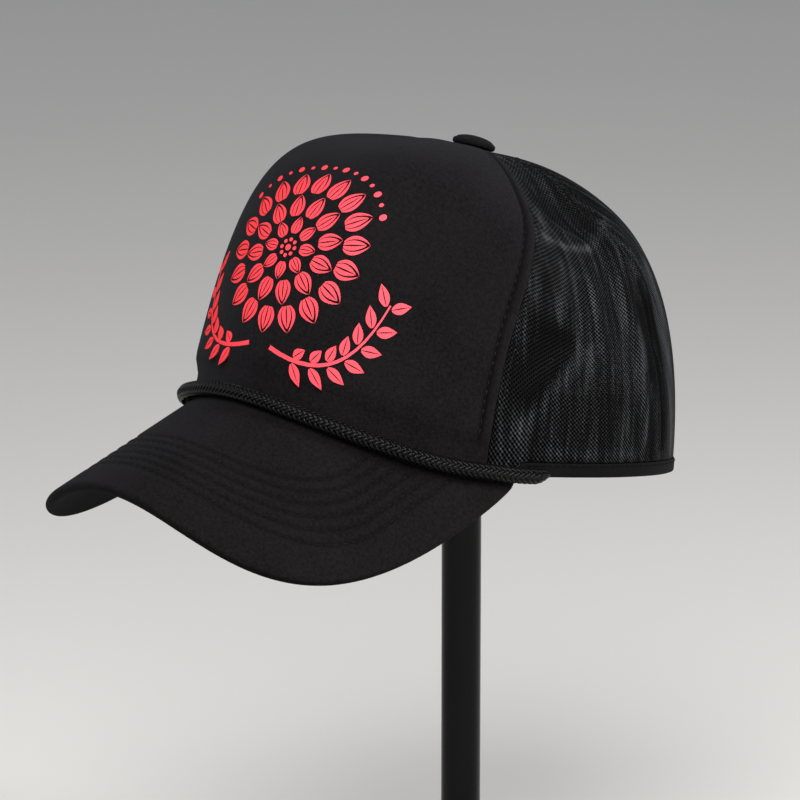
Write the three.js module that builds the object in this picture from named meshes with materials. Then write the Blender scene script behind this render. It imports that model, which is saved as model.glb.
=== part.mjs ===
import * as THREE from "three";

// Trucker hat on a pole stand, in millimetres with +Z up. The hat's front faces -Y and its wearer's
// left is +X. The origin is on the floor, at the foot of the pole.
//
// Places on the crown are given by an angle and a share. The angle runs round the head in degrees,
// from the front (0) through the wearer's left (90) to the back (180), and is negative on the right.
// The share runs up the crown from the rim (0) to the top (1). A lift is a distance out from the
// net's outer face, so inner layers have a negative lift.

// Head opening
const rimHalfWidth = 82.1;
const rimFrontReach = 102.7;
const rimBackReach = 91.3;
const sideRimRise = 4.8;
const backRimDrop = 4.4;

// Crown
const crownHeight = 113.3;
const crownTopY = -0.6;
const panelTopShare = 0.97;
const backSeamAngle = 117;
const frontSeam = { rimAngle: 62.3, shoulderAngle: 74.7, shoulderShare: 0.6 };

// Brim
const brimPitch = 28.3;
const brimRollRadius = 56.1;
const brimEndAngle = 71.4;
const brimEndRise = 4.5;
const brimThickness = 4;
const brimTip = -160.4;
const brimCornerReach = 82.2;
const brimCornerTurn = 4.2;
const brimFrontHandle = 67.4;
const brimUsedWidth = 0.97;

// Layers of the crown wall, as lifts of the outer and inner faces
const foam = { outer: 2.5, inner: -0.5 };
const net = { outer: 0, inner: -1 };
const binding = { outer: 0.6, inner: -1 };
const band = { outer: -1.5, inner: -2.7 };
const tape = { outer: -1.7, inner: -2.3 };
const strap = { outer: -1.5, inner: -2.9 };
const foamTop = { fromShare: 0.86, outer: 0.6 };
const foamFoot = { outer: 0.1, inner: -1.1, fromShare: 0.03, toShare: 0.06 };

// Trim
const gap = 0.3;
const bindingHeight = 5;
const bindingLeadAngle = 4;
const sweatbandHeight = 30;
const tapeWidth = 12;
const tapeTopShare = 0.84;
const tapeClearance = 1.2;
const arch = { halfWidth: 34, height: 44, bindingWidth: 4 };
const strapBottom = 2;
const strapTop = 20;
const strapOverlapAngle = 9;
const ropeRadius = 2.9;
const ropeRise = { front: 1.5, side: 2.7, fromAngle: 14, toAngle: 45 };
const ropeEnd = { fallAngle: 60, angle: 76, drop: 2.6, overBinding: 4 };
const button = { radius: 8.1, height: 4.2, edge: 1, lean: 11, lift: 0.9 };

// Stand
const poleRadius = 7.5;
const baseRadius = 80;
const baseThickness = 5;
const baseEdge = 1;
const cap = { radius: 26, height: 9, edge: 1.5, top: 303.8 };

// How the hat hangs on the stand
const hatTilt = 8.3;
const hatBack = -10.6;
const rimHeight = 200;

// Columns across and rows up each faceted piece
const grid = {
  front: { columns: 32, rows: 16, crowding: 1.28 },
  side: { columns: 16, rows: 15 },
  back: { besideArch: 6, aboveArch: 9, rows: 12 },
  brim: { columns: 36, rows: 6 },
  sweatband: { columns: 60, rows: 2 },
  strap: { columns: 24, rows: 1 },
  rimBinding: { columns: 22, rows: 1 },
  archBinding: { columns: 24 },
  tape: { rows: 13 },
  rope: { stations: 34, steps: 70, sides: 8 },
  dome: { rows: 6 },
  turned: { button: 24, cap: 32, pole: 24, base: 48 },
};

// Shape of the crown's upright sections. lean pulls the lower handle in, as a share of the rim's
// reach, rise is its height, reach is how far out the upper handle lies, and lift raises it above
// the crown's top.
const crownRowStep = 45;
const crownRows = [
  { angle: 0, lean: 0.116, rise: 115.8, reach: 0.602, lift: 4.3 },
  { angle: 45, lean: 0.143, rise: 119.9, reach: 0.709, lift: 0.6 },
  { angle: 90, lean: 0.017, rise: 67.9, reach: 0.549, lift: -2.4 },
  { angle: 135, lean: 0.022, rise: 80.4, reach: 0.646, lift: -1.2 },
  { angle: 180, lean: 0.018, rise: 74.2, reach: 0.496, lift: -13.1 },
];

// Dents and folds: a hollow of the given depth at an angle and a share, with its spread across
// (degrees) and along (share). A negative depth is a swelling.
const dents = [
  { name: "front top hollow", angle: -20, share: 0.76, depth: 1.6, across: 13, along: 0.16 },
  { name: "left shoulder dent", angle: 103, share: 0.66, depth: 5, across: 14, along: 0.085 },
  { name: "left shoulder ridge", angle: 100, share: 0.51, depth: -1.6, across: 15, along: 0.045 },
  { name: "left lower hollow", angle: 76, share: 0.19, depth: 1.8, across: 8, along: 0.08 },
  { name: "left fold, front", angle: 88, share: 0.38, depth: 1, across: 3.4, along: 0.16 },
  { name: "left fold, back", angle: 102, share: 0.36, depth: 1, across: 3.6, along: 0.18 },
  { name: "back seam dimple", angle: 119, share: 0.28, depth: 2.2, across: 4.5, along: 0.07 },
  { name: "right shoulder dent", angle: -104, share: 0.62, depth: 3.2, across: 15, along: 0.09 },
  { name: "right fold", angle: -94, share: 0.34, depth: 1, across: 4, along: 0.16 },
  { name: "back hollow", angle: 160, share: 0.72, depth: 1.8, across: 12, along: 0.09 },
];

const cloth = new THREE.MeshStandardMaterial({ color: 0x1c1a1c, roughness: 0.92, metalness: 0 });
const netting = new THREE.MeshStandardMaterial({ color: 0x17171a, roughness: 0.45, metalness: 0 });
const trim = new THREE.MeshStandardMaterial({ color: 0x151416, roughness: 0.85, metalness: 0 });
const braid = new THREE.MeshStandardMaterial({ color: 0x19181b, roughness: 0.6, metalness: 0 });
const moulded = new THREE.MeshStandardMaterial({ color: 0x111113, roughness: 0.4, metalness: 0 });
const lacquer = new THREE.MeshStandardMaterial({ color: 0x0c0c10, roughness: 0.22, metalness: 0.4 });

const { degToRad, radToDeg, lerp, clamp, smoothstep } = THREE.MathUtils;

// Angle brought between -180 and 180 degrees.
function wrapped(angle) {
  return THREE.MathUtils.euclideanModulo(angle + 180, 360) - 180;
}

// One column of the crown's rows at any angle, by an even curve through them that joins at the back.
function crownValue(column, angle) {
  const along = Math.abs(wrapped(angle)) / crownRowStep;
  const last = crownRows.length - 1;
  const first = Math.min(Math.floor(along), last - 1);
  const row = (index) => {
    const folded = Math.abs(index) > last ? 2 * last - Math.abs(index) : Math.abs(index);
    return crownRows[folded][column];
  };
  const part = along - first;
  const startSlope = (row(first + 1) - row(first - 1)) / 2;
  const endSlope = (row(first + 2) - row(first)) / 2;
  const square = part * part;
  const cube = square * part;
  return (
    (2 * cube - 3 * square + 1) * row(first) +
    (cube - 2 * square + part) * startSlope +
    (3 * square - 2 * cube) * row(first + 1) +
    (cube - square) * endSlope
  );
}

// Plan of the head opening: a half ellipse in front joined to a shorter one behind.
function rimPlan(angle) {
  const turn = degToRad(angle);
  const reach = Math.cos(turn) > 0 ? rimFrontReach : rimBackReach;
  return new THREE.Vector2(rimHalfWidth * Math.sin(turn), -reach * Math.cos(turn));
}

// Height of the brim's surface before it is levelled: a slope down to the front and a rolled section.
function rollHeight(x, y) {
  return Math.tan(degToRad(brimPitch)) * (y + rimFrontReach) - (x * x) / (2 * brimRollRadius);
}

const brimEnd = rimPlan(brimEndAngle);
const brimEndLevel = rollHeight(brimEnd.x, brimEnd.y);

function brimHeight(x, y) {
  return rollHeight(x, y) - brimEndLevel + brimEndRise;
}

// Height of the rim: on the brim in front, and a gentle wave behind the brim's end.
function rimLevel(angle) {
  const away = Math.abs(wrapped(angle));
  if (away < brimEndAngle) {
    const plan = rimPlan(angle);
    return brimHeight(plan.x, plan.y);
  }
  const back = (away - brimEndAngle) / (180 - brimEndAngle);
  return brimEndRise * (1 - back) ** 2 + 2 * sideRimRise * back * (1 - back) - backRimDrop * back ** 2;
}

// Crown surface without dents: each upright section is a cubic curve from the rim to the top.
function smoothCrown(angle, share) {
  const rest = 1 - share;
  const weights = [rest ** 3, 3 * rest ** 2 * share, 3 * rest * share ** 2, share ** 3];
  const reaches = [1, 1 - crownValue("lean", angle), crownValue("reach", angle), 0];
  const top = crownHeight + crownValue("lift", angle);
  const heights = [rimLevel(angle), crownValue("rise", angle), top, crownHeight];
  const sum = (values) => values.reduce((total, value, k) => total + value * weights[k], 0);
  const plan = rimPlan(angle);
  const reach = sum(reaches);
  return new THREE.Vector3(plan.x * reach, lerp(crownTopY, plan.y, reach), sum(heights));
}

function dentDepth(angle, share) {
  return dents.reduce((total, dent) => {
    const across = wrapped(angle - dent.angle) / dent.across;
    const along = (share - dent.share) / dent.along;
    return total + dent.depth * Math.exp(-(across * across + along * along) / 2);
  }, 0);
}

// Point of the crown at a lift from the net's outer face.
function crownPoint(angle, share, lift = 0) {
  const turnStep = 0.05;
  const shareStep = 0.001;
  const nearTop = 0.985;
  const steady = clamp(share, shareStep, nearTop);
  const across = smoothCrown(angle + turnStep, steady).sub(smoothCrown(angle - turnStep, steady));
  const along = smoothCrown(angle, steady + shareStep).sub(smoothCrown(angle, steady - shareStep));
  const out = across.cross(along).normalize();
  return smoothCrown(angle, share).addScaledVector(out, lift - dentDepth(angle, share));
}

// Share at which the crown stands a given height above its rim.
function shareAtHeight(angle, height) {
  const goal = rimLevel(angle) + height;
  const halvings = 24;
  let low = 0;
  let high = 0.7;
  for (let step = 0; step < halvings; step += 1) {
    const middle = (low + high) / 2;
    if (smoothCrown(angle, middle).z < goal) low = middle;
    else high = middle;
  }
  return low;
}

// Angle that a width spans round the crown's upright axis.
function angleAcross(width, angle, share) {
  const point = smoothCrown(angle, share);
  return radToDeg(width / Math.hypot(point.x, point.y - crownTopY));
}

function frontSeamAngle(share) {
  const up = smoothstep(share, 0, frontSeam.shoulderShare);
  return lerp(frontSeam.rimAngle, frontSeam.shoulderAngle, up);
}

// count + 1 even steps from one value to another
function steps(from, to, count) {
  return Array.from({ length: count + 1 }, (unused, k) => lerp(from, to, k / count));
}

// Joins equal rings of points into one closed body. A ring runs along its outer face and back along
// its inner face, so a ladder of quads closes each end.
function loft(rings) {
  const size = rings[0].length;
  const last = rings.length - 1;
  const faces = [];
  const at = (ring, k) => ring * size + (k % size);
  const quad = (a, b, c, d) => faces.push(a, b, c, a, c, d);
  for (let ring = 0; ring < last; ring += 1) {
    for (let k = 0; k < size; k += 1) {
      quad(at(ring, k), at(ring + 1, k), at(ring + 1, k + 1), at(ring, k + 1));
    }
  }
  for (let k = 0; k < size / 2 - 1; k += 1) {
    const facing = size - 1 - k;
    quad(at(0, k), at(0, k + 1), at(0, facing - 1), at(0, facing));
    quad(at(last, facing), at(last, facing - 1), at(last, k + 1), at(last, k));
  }
  const geometry = new THREE.BufferGeometry().setFromPoints(rings.flat());
  geometry.setIndex(faces);
  geometry.computeVertexNormals();
  return geometry;
}

// Ring up one column of the crown wall. shareAt takes the way up, from 0 to 1, and angleAt and the
// lifts take the share there.
function wallRing(rows, angleAt, shareAt, outerAt, innerAt) {
  const ways = steps(0, 1, rows);
  const face = (liftAt) => ways.map((way) => {
    const share = shareAt(way);
    return crownPoint(angleAt(share), share, liftAt(share));
  });
  return [...face(outerAt), ...face(innerAt).reverse()];
}

// Rings of a crown panel between two seams, each given as an angle at a share. A crowding above 1
// brings the rows closer together towards the rim.
function panelRings(panel) {
  const { columns, rows, crowding = 1, fromAngle, toAngle, bottomShare, outerAt, innerAt } = panel;
  return columns.map((column) => {
    const angleAt = (share) => lerp(fromAngle(share), toAngle(share), column);
    const bottom = bottomShare(angleAt(0));
    const shareAt = (way) => lerp(bottom, panelTopShare, way ** crowding);
    return wallRing(rows, angleAt, shareAt, outerAt, innerAt);
  });
}

// The foam is pressed thin at its foot, where the rope lies, and thins again to the top.
function makeFrontPanel() {
  const side = (sign) => (share) => {
    const seam = frontSeamAngle(share);
    return sign * (seam - angleAcross(gap / 2, seam, share));
  };
  const thins = (share) => smoothstep(share, foamTop.fromShare, panelTopShare);
  const pressed = (share) => 1 - smoothstep(share, foamFoot.fromShare, foamFoot.toShare);
  const puffed = (share) => lerp(foam.outer, foamTop.outer, thins(share));
  const rings = panelRings({
    columns: steps(0, 1, grid.front.columns),
    rows: grid.front.rows,
    crowding: grid.front.crowding,
    fromAngle: side(-1),
    toAngle: side(1),
    bottomShare: () => 0,
    outerAt: (share) => lerp(puffed(share), foamFoot.outer, pressed(share)),
    innerAt: (share) => lerp(foam.inner, foamFoot.inner, pressed(share)),
  });
  // The lower edge stands on the brim.
  rings.forEach((ring) => {
    [ring[0], ring[ring.length - 1]].forEach((point) => {
      point.z = brimHeight(point.x, point.y) + gap;
    });
  });
  return loft(rings);
}

// Lower edge of the net: above the brim's end, then above the rim's binding and round the arch.
function netBottomShare(angle) {
  const away = Math.abs(wrapped(angle));
  if (away < brimEndAngle - bindingLeadAngle) return shareAtHeight(angle, gap);
  const offset = Math.abs(rimPlan(angle).x) / (arch.halfWidth + arch.bindingWidth + gap);
  const archRise = arch.height + arch.bindingWidth + gap;
  const behind = away > 90 && offset < 1;
  const archHeight = behind ? archRise * Math.sqrt(1 - offset * offset) : 0;
  return shareAtHeight(angle, Math.max(archHeight, bindingHeight + gap));
}

function netPanel(columns, rows, fromAngle, toAngle) {
  const rings = panelRings({
    columns,
    rows,
    fromAngle,
    toAngle,
    bottomShare: netBottomShare,
    outerAt: () => net.outer,
    innerAt: () => net.inner,
  });
  return loft(rings);
}

// Seam on the right, from its twin on the left
function mirrored(angleAt) {
  return (share) => -angleAt(share);
}

function makeSideMesh(side) {
  const front = (share) => {
    const seam = frontSeamAngle(share);
    return seam + angleAcross(gap / 2, seam, share);
  };
  const back = (share) => backSeamAngle - angleAcross(gap / 2, backSeamAngle, share);
  const { rows } = grid.side;
  const columns = steps(0, 1, grid.side.columns);
  if (side > 0) return netPanel(columns, rows, front, back);
  return netPanel(columns, rows, mirrored(back), mirrored(front));
}

// Angle at which the back of the rim lies a given distance to the left of the centre line
function angleAtOffset(offset) {
  return 180 - radToDeg(Math.asin(offset / rimHalfWidth));
}

function makeBackMesh(side) {
  const front = (share) => backSeamAngle + angleAcross(gap / 2, backSeamAngle, share);
  const back = (share) => 180 - angleAcross(gap / 2, 180, share);
  const cutHalfWidth = arch.halfWidth + arch.bindingWidth + gap;
  const archStart = angleAtOffset(cutHalfWidth);
  const toColumn = (angle) => (angle - backSeamAngle) / (180 - backSeamAngle);
  const { besideArch, aboveArch, rows } = grid.back;
  const beside = steps(0, toColumn(archStart), besideArch);
  const above = steps(0, 90, aboveArch).slice(1).map((turn) => {
    return toColumn(angleAtOffset(cutHalfWidth * Math.cos(degToRad(turn))));
  });
  const columns = [...beside, ...above];
  if (side > 0) return netPanel(columns, rows, front, back);
  const otherWay = columns.map((column) => 1 - column).reverse();
  return netPanel(otherWay, rows, mirrored(back), mirrored(front));
}

// Tape over a seam, inside the wall, from above the sweatband or the arch to near the top
function makeTape(seamAt, bottomHeight) {
  const nearRim = 0.2;
  const bottom = shareAtHeight(seamAt(nearRim), bottomHeight);
  const rings = [-1, 0, 1].map((edge) => {
    const angleAt = (share) => {
      const seam = seamAt(share);
      return seam + edge * angleAcross(tapeWidth / 2, seam, share);
    };
    const shareAt = (way) => lerp(bottom, tapeTopShare, way);
    return wallRing(grid.tape.rows, angleAt, shareAt, () => tape.outer, () => tape.inner);
  });
  return loft(rings);
}

// Band round the crown wall between two heights above the rim
function wallBand([fromAngle, toAngle], { columns, rows }, [bottomHeight, topHeight], layer) {
  const rings = steps(fromAngle, toAngle, columns).map((angle) => {
    const low = shareAtHeight(angle, bottomHeight);
    const high = shareAtHeight(angle, topHeight);
    return wallRing(
      rows,
      () => angle,
      (way) => lerp(low, high, way),
      () => layer.outer,
      () => layer.inner,
    );
  });
  return loft(rings);
}

const strapEndAngle = angleAtOffset(arch.halfWidth) - strapOverlapAngle;

function makeSweatband() {
  const end = strapEndAngle - angleAcross(gap, strapEndAngle, 0);
  return wallBand([-end, end], grid.sweatband, [0, sweatbandHeight], band);
}

function makeSnapStrap() {
  return wallBand([strapEndAngle, 360 - strapEndAngle], grid.strap, [strapBottom, strapTop], strap);
}

function makeRimBinding(side) {
  const brimSide = brimUsedWidth * brimEndAngle;
  const start = brimSide + angleAcross(gap, brimSide, 0);
  const end = angleAtOffset(arch.halfWidth + arch.bindingWidth + gap);
  const span = side > 0 ? [start, end] : [-end, -start];
  return wallBand(span, grid.rimBinding, [0, bindingHeight], binding);
}

// Binding round the arch: a rectangle carried along a half ellipse on the crown wall
function makeArchBinding() {
  const rings = steps(0, 180, grid.archBinding.columns).map((turn) => {
    const corner = (grow, lift) => {
      const offset = (arch.halfWidth + grow) * Math.cos(degToRad(turn));
      const height = (arch.height + grow) * Math.sin(degToRad(turn));
      const angle = (offset < 0 ? -1 : 1) * angleAtOffset(Math.abs(offset));
      return crownPoint(angle, shareAtHeight(angle, height), lift);
    };
    const wide = arch.bindingWidth;
    return [
      corner(0, binding.outer),
      corner(wide, binding.outer),
      corner(wide, binding.inner),
      corner(0, binding.inner),
    ];
  });
  return loft(rings);
}

// Brim: a row of sections across it, each from the crown's rim to the outer edge
const brimCorner = new THREE.Vector2(
  Math.sin(degToRad(brimCornerTurn)),
  -Math.cos(degToRad(brimCornerTurn)),
).multiplyScalar(brimCornerReach).add(brimEnd);
const brimOutline = new THREE.CubicBezierCurve(
  new THREE.Vector2(0, brimTip),
  new THREE.Vector2(brimFrontHandle, brimTip),
  brimCorner,
  brimEnd,
);

// Outer edge in plan, across from -1 on the right to 1 on the left
function brimEdge(across) {
  const point = brimOutline.getPoint(Math.abs(across));
  return new THREE.Vector2(Math.sign(across) * point.x, point.y);
}

function brimSurface(across, out) {
  const plan = rimPlan(across * brimEndAngle).lerp(brimEdge(across), out);
  return new THREE.Vector3(plan.x, plan.y, brimHeight(plan.x, plan.y));
}

function brimNormal(across, out) {
  const step = 0.005;
  const wide = brimSurface(across + step, out).sub(brimSurface(across - step, out));
  const deep = brimSurface(across, out - step).sub(brimSurface(across, out + step));
  return wide.cross(deep).normalize();
}

function makeBrim() {
  const half = brimThickness / 2;
  const outs = steps(0, 1, grid.brim.rows);
  const edgeTurns = [22.5, 67.5];
  const rings = steps(-brimUsedWidth, brimUsedWidth, grid.brim.columns).map((across) => {
    const inner = brimSurface(across, 0);
    const outward = brimSurface(across, 1).sub(inner);
    const used = 1 - half / outward.length();
    outward.normalize();
    const middle = (out) => {
      return brimSurface(across, out).addScaledVector(brimNormal(across, out), -half);
    };
    const face = (sign) => outs.map((out) => {
      return middle(out * used).addScaledVector(brimNormal(across, out * used), sign * half);
    });
    const edge = (sign) => edgeTurns.map((turn) => {
      const reach = half * Math.cos(degToRad(turn));
      const rise = sign * half * Math.sin(degToRad(turn));
      const normal = brimNormal(across, used);
      return middle(used).addScaledVector(outward, reach).addScaledVector(normal, rise);
    });
    return [...edge(1), ...face(1).reverse(), ...face(-1), ...edge(-1).reverse()];
  });
  return loft(rings);
}

// Rope: round the foot of the front panel, and down to the brim's end on each side
function makeRope() {
  const overFoam = foamFoot.outer + gap + ropeRadius;
  const { stations, sides } = grid.rope;
  const points = steps(-ropeEnd.angle, ropeEnd.angle, stations).map((angle) => {
    const away = Math.abs(angle);
    const sideways = smoothstep(away, ropeRise.fromAngle, ropeRise.toAngle);
    const leaving = smoothstep(away, frontSeam.rimAngle, brimEndAngle);
    const falling = smoothstep(away, ropeEnd.fallAngle, ropeEnd.angle);
    const share = shareAtHeight(angle, lerp(ropeRise.front, ropeRise.side, sideways));
    const point = crownPoint(angle, share, lerp(overFoam, ropeEnd.overBinding, leaving));
    point.z -= ropeEnd.drop * falling;
    return point;
  });
  const section = new THREE.Shape(steps(0, 2 * Math.PI, sides).slice(1).map((turn) => {
    return new THREE.Vector2(ropeRadius * Math.cos(turn), ropeRadius * Math.sin(turn));
  }));
  return new THREE.ExtrudeGeometry(section, {
    steps: grid.rope.steps,
    bevelEnabled: false,
    extrudePath: new THREE.CatmullRomCurve3(points),
  });
}

// Turned piece: a profile of radius and height, from the axis below to the axis above
function turned(profile, segments) {
  const points = profile.map(([radius, height]) => new THREE.Vector2(radius, height));
  return new THREE.LatheGeometry(points, segments).rotateX(Math.PI / 2);
}

// Quarter round from the side at the foot of a dome to its top on the axis
function domeProfile(radius, height, foot) {
  return steps(0, 90, grid.dome.rows).map((turn) => {
    const up = degToRad(turn);
    const out = turn === 90 ? 0 : radius * Math.cos(up);
    return [out, foot + (height - foot) * Math.sin(up)];
  });
}

function makeButton() {
  const { radius, height, edge } = button;
  const profile = [[0, 0], [radius - edge, 0], ...domeProfile(radius, height, edge)];
  return turned(profile, grid.turned.button);
}

function makeStandBase() {
  const shoulder = baseRadius - baseEdge;
  const profile = [
    [0, 0],
    [baseRadius, 0],
    [baseRadius, baseThickness - baseEdge],
    [shoulder, baseThickness],
    [0, baseThickness],
  ];
  return turned(profile, grid.turned.base);
}

function makeStandPole() {
  const bottom = baseThickness + gap;
  const top = cap.top - cap.height - gap;
  const profile = [[0, bottom], [poleRadius, bottom], [poleRadius, top], [0, top]];
  return turned(profile, grid.turned.pole);
}

function makeStandTop() {
  const profile = [[0, 0], [cap.radius, 0], ...domeProfile(cap.radius, cap.height, cap.edge)];
  return turned(profile, grid.turned.cap);
}

function piece(name, geometry, material) {
  const mesh = new THREE.Mesh(geometry, material);
  mesh.name = name;
  return mesh;
}

const hat = new THREE.Group();
hat.rotation.x = degToRad(-hatTilt);
hat.position.set(0, hatBack, rimHeight);
hat.add(piece("front_panel", makeFrontPanel(), cloth));
for (const [name, side] of [["left", 1], ["right", -1]]) {
  hat.add(piece(`side_mesh_${name}`, makeSideMesh(side), netting));
  hat.add(piece(`back_mesh_${name}`, makeBackMesh(side), netting));
  hat.add(piece(`rim_binding_${name}`, makeRimBinding(side), trim));
  const tapeBottom = sweatbandHeight + tapeClearance;
  const frontTape = makeTape((share) => side * frontSeamAngle(share), tapeBottom);
  hat.add(piece(`front_tape_${name}`, frontTape, trim));
  hat.add(piece(`back_tape_${name}`, makeTape(() => side * backSeamAngle, tapeBottom), trim));
}
const centreTapeBottom = arch.height + arch.bindingWidth + gap;
hat.add(piece("centre_tape", makeTape(() => 180, centreTapeBottom), trim));
hat.add(piece("arch_binding", makeArchBinding(), trim));
hat.add(piece("sweatband", makeSweatband(), trim));
hat.add(piece("snap_strap", makeSnapStrap(), moulded));
hat.add(piece("brim", makeBrim(), cloth));
hat.add(piece("rope", makeRope(), braid));

const topButton = piece("top_button", makeButton(), cloth);
topButton.position.set(0, crownTopY, crownHeight + button.lift);
topButton.rotation.x = degToRad(-button.lean);
hat.add(topButton);

const stand = new THREE.Group();
stand.add(piece("stand_base", makeStandBase(), lacquer));
stand.add(piece("stand_pole", makeStandPole(), lacquer));
const standTop = piece("stand_top", makeStandTop(), lacquer);
standTop.position.z = cap.top - cap.height;
stand.add(standTop);

const hatOnStand = new THREE.Group();
hatOnStand.add(hat, stand);

export default hatOnStand;
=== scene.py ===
"""Trucker hat on a pole stand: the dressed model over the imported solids, with floor, light and camera.

Inside the classes a size is in millimetres in the hat's own frame, as its maker measures it: the
origin is the middle of the rim, the front faces -Y and the wearer's left is +X. HANGING brings a
point to metres in the row frame. Places on the crown are an angle round the head in degrees, from
the front (0) through the left (90) to the back (180), and a share of the way up from the rim (0) to
the top (1). A lift is a distance out from the net's outer face.
"""

import logging
from collections.abc import Callable
from dataclasses import dataclass
from enum import Enum
from functools import partial

import bpy
import numpy as np
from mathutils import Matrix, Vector


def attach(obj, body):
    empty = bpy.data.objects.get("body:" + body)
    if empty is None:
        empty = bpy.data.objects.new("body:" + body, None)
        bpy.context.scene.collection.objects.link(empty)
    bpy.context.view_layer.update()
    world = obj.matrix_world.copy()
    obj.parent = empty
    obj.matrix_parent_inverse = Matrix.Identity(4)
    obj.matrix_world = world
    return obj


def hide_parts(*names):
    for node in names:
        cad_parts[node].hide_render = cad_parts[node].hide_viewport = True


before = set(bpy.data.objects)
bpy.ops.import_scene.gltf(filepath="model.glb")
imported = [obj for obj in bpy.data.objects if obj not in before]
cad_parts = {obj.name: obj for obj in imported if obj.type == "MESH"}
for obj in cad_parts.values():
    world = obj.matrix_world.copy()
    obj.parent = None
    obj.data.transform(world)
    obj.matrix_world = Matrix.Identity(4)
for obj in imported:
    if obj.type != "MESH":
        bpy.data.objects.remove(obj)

LOG = logging.getLogger("trucker_hat")
Array = np.ndarray
Socket = bpy.types.NodeSocket
Colour = tuple[float, float, float]
Pair = tuple[float, float]
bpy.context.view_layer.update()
MILLIMETRE = 0.001

# Distance between the net's holes, and the crown's cloth laid flat: its length from rim to top, the
# radius that its width is rolled out from, and the width of one degree of the net.
NET_PITCH = 1.04
CLOTH_HEIGHT = 150.0
CLOTH_RADIUS = 85.0
DEGREE_WIDTH = 1.45

# Upright sections of the crown, 45 degrees apart from the front to the back: lean pulls the lower
# handle in as a share of the rim's reach, then its height, the upper handle's reach and its lift.
SECTION_STEP = 45.0
SECTIONS = np.array(
    [
        [0.116, 115.8, 0.602, 4.3],
        [0.143, 119.9, 0.709, 0.6],
        [0.017, 67.9, 0.549, -2.4],
        [0.022, 80.4, 0.646, -1.2],
        [0.018, 74.2, 0.496, -13.1],
    ]
)

# Dents: angle, share, depth, spread across in degrees, spread up in share. Below zero it swells.
DENTS = (
    (-20.0, 0.76, 1.6, 13.0, 0.16),
    (103.0, 0.66, 5.0, 14.0, 0.085),
    (100.0, 0.51, -1.6, 15.0, 0.045),
    (76.0, 0.19, 1.8, 8.0, 0.08),
    (88.0, 0.38, 1.0, 3.4, 0.16),
    (102.0, 0.36, 1.0, 3.6, 0.18),
    (119.0, 0.28, 2.2, 4.5, 0.07),
    (-104.0, 0.62, 3.2, 15.0, 0.09),
    (-94.0, 0.34, 1.0, 4.0, 0.16),
    (160.0, 0.72, 1.8, 12.0, 0.09),
)

# Creases of the net: start angle and share, end angle and share, depth, half width in millimetres.
CREASES = (
    (83.0, 0.655, 100.0, 0.535, -0.7, 2.0),
    (100.0, 0.535, 120.0, 0.595, -0.7, 2.0),
    (67.5, 0.10, 87.0, 0.275, -0.6, 2.2),
    (70.0, 0.27, 86.0, 0.285, -0.4, 2.5),
    (94.0, 0.44, 93.0, 0.16, -0.45, 2.2),
    (83.0, 0.45, 82.0, 0.28, -0.35, 1.8),
    (88.5, 0.45, 88.0, 0.24, -0.3, 1.6),
    (108.0, 0.42, 107.0, 0.08, -0.5, 2.2),
    (112.0, 0.36, 111.5, 0.10, 0.4, 1.8),
    (76.0, 0.58, 74.5, 0.36, -0.35, 1.8),
    (117.0, 0.05, 117.0, 0.62, 0.5, 1.0),
    (-117.0, 0.05, -117.0, 0.62, 0.5, 1.0),
    (121.0, 0.36, 120.5, 0.18, -0.5, 1.8),
    (-80.0, 0.62, -98.0, 0.50, -0.6, 2.2),
    (-98.0, 0.50, -118.0, 0.55, -0.6, 2.2),
    (-88.0, 0.42, -87.0, 0.16, -0.4, 2.0),
    (-103.0, 0.40, -102.0, 0.12, -0.4, 2.2),
    (140.0, 0.70, 168.0, 0.66, -0.5, 2.4),
    (-140.0, 0.68, -165.0, 0.66, -0.4, 2.4),
)

# Painted highlights on the net where it is stretched, and painted shade in its hollows: start angle and
# share, end angle and share, strength, half width in millimetres. Both sides of the hat have the same.
NET_PAINTED_LIGHT = (
    (84.5, 0.65, 78.5, 0.506, 0.6, 2.0),
    (79.0, 0.52, 99.0, 0.522, 0.9, 1.4),
    (99.0, 0.522, 121.0, 0.594, 0.6, 1.6),
    (83.2, 0.462, 78.5, 0.274, 0.5, 1.5),
    (87.5, 0.45, 84.0, 0.258, 0.6, 1.2),
    (93.0, 0.44, 91.0, 0.26, 0.4, 1.1),
    (88.0, 0.258, 86.5, 0.05, 0.3, 2.2),
    (105.0, 0.42, 97.5, 0.05, 0.4, 2.2),
    (108.5, 0.30, 106.8, 0.07, 0.7, 1.4),
    (69.5, 0.07, 86.2, 0.25, 0.65, 1.7),
    (75.5, 0.04, 105.0, 0.046, 0.35, 1.1),
    (126.5, 0.42, 125.5, 0.05, 1.1, 3.0),
    (119.8, 0.486, 112.8, 0.36, 0.5, 1.8),
    (100.0, 0.66, 122.0, 0.68, -0.35, 9.0),
    (76.5, 0.94, 76.5, 0.62, -1.1, 1.8),
    (70.5, 0.14, 78.0, 0.24, -1.3, 4.2),
    (73.5, 0.28, 81.0, 0.27, -0.7, 2.6),
    (112.8, 0.342, 114.0, 0.30, -1.0, 2.4),
    (119.0, 0.33, 112.2, 0.20, -1.6, 1.8),
    (109.0, 0.20, 111.0, 0.04, -0.9, 1.2),
    (117.0, 0.40, 117.0, 0.05, -1.0, 1.3),
    (120.5, 0.36, 119.5, 0.06, -1.0, 0.9),
    (92.0, 0.14, 84.0, 0.06, -0.35, 7.0),
)


class Slot(Enum):
    """Material slots of the record."""

    CLOTH = "cloth"
    NETTING = "netting"
    TRIM = "trim"
    BRAID = "braid"
    MOULDED = "moulded"
    LACQUER = "lacquer"


class Side(Enum):
    """Side of the wearer; the value is the sign of X there."""

    LEFT = 1
    RIGHT = -1

    @property
    def word(self) -> str:
        """Name of the side in piece names."""
        return self.name.lower()


class Weave(Enum):
    """How the threads of a cloth lie."""

    KNIT = "knit"
    TWILL = "twill"
    RIB = "rib"


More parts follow.
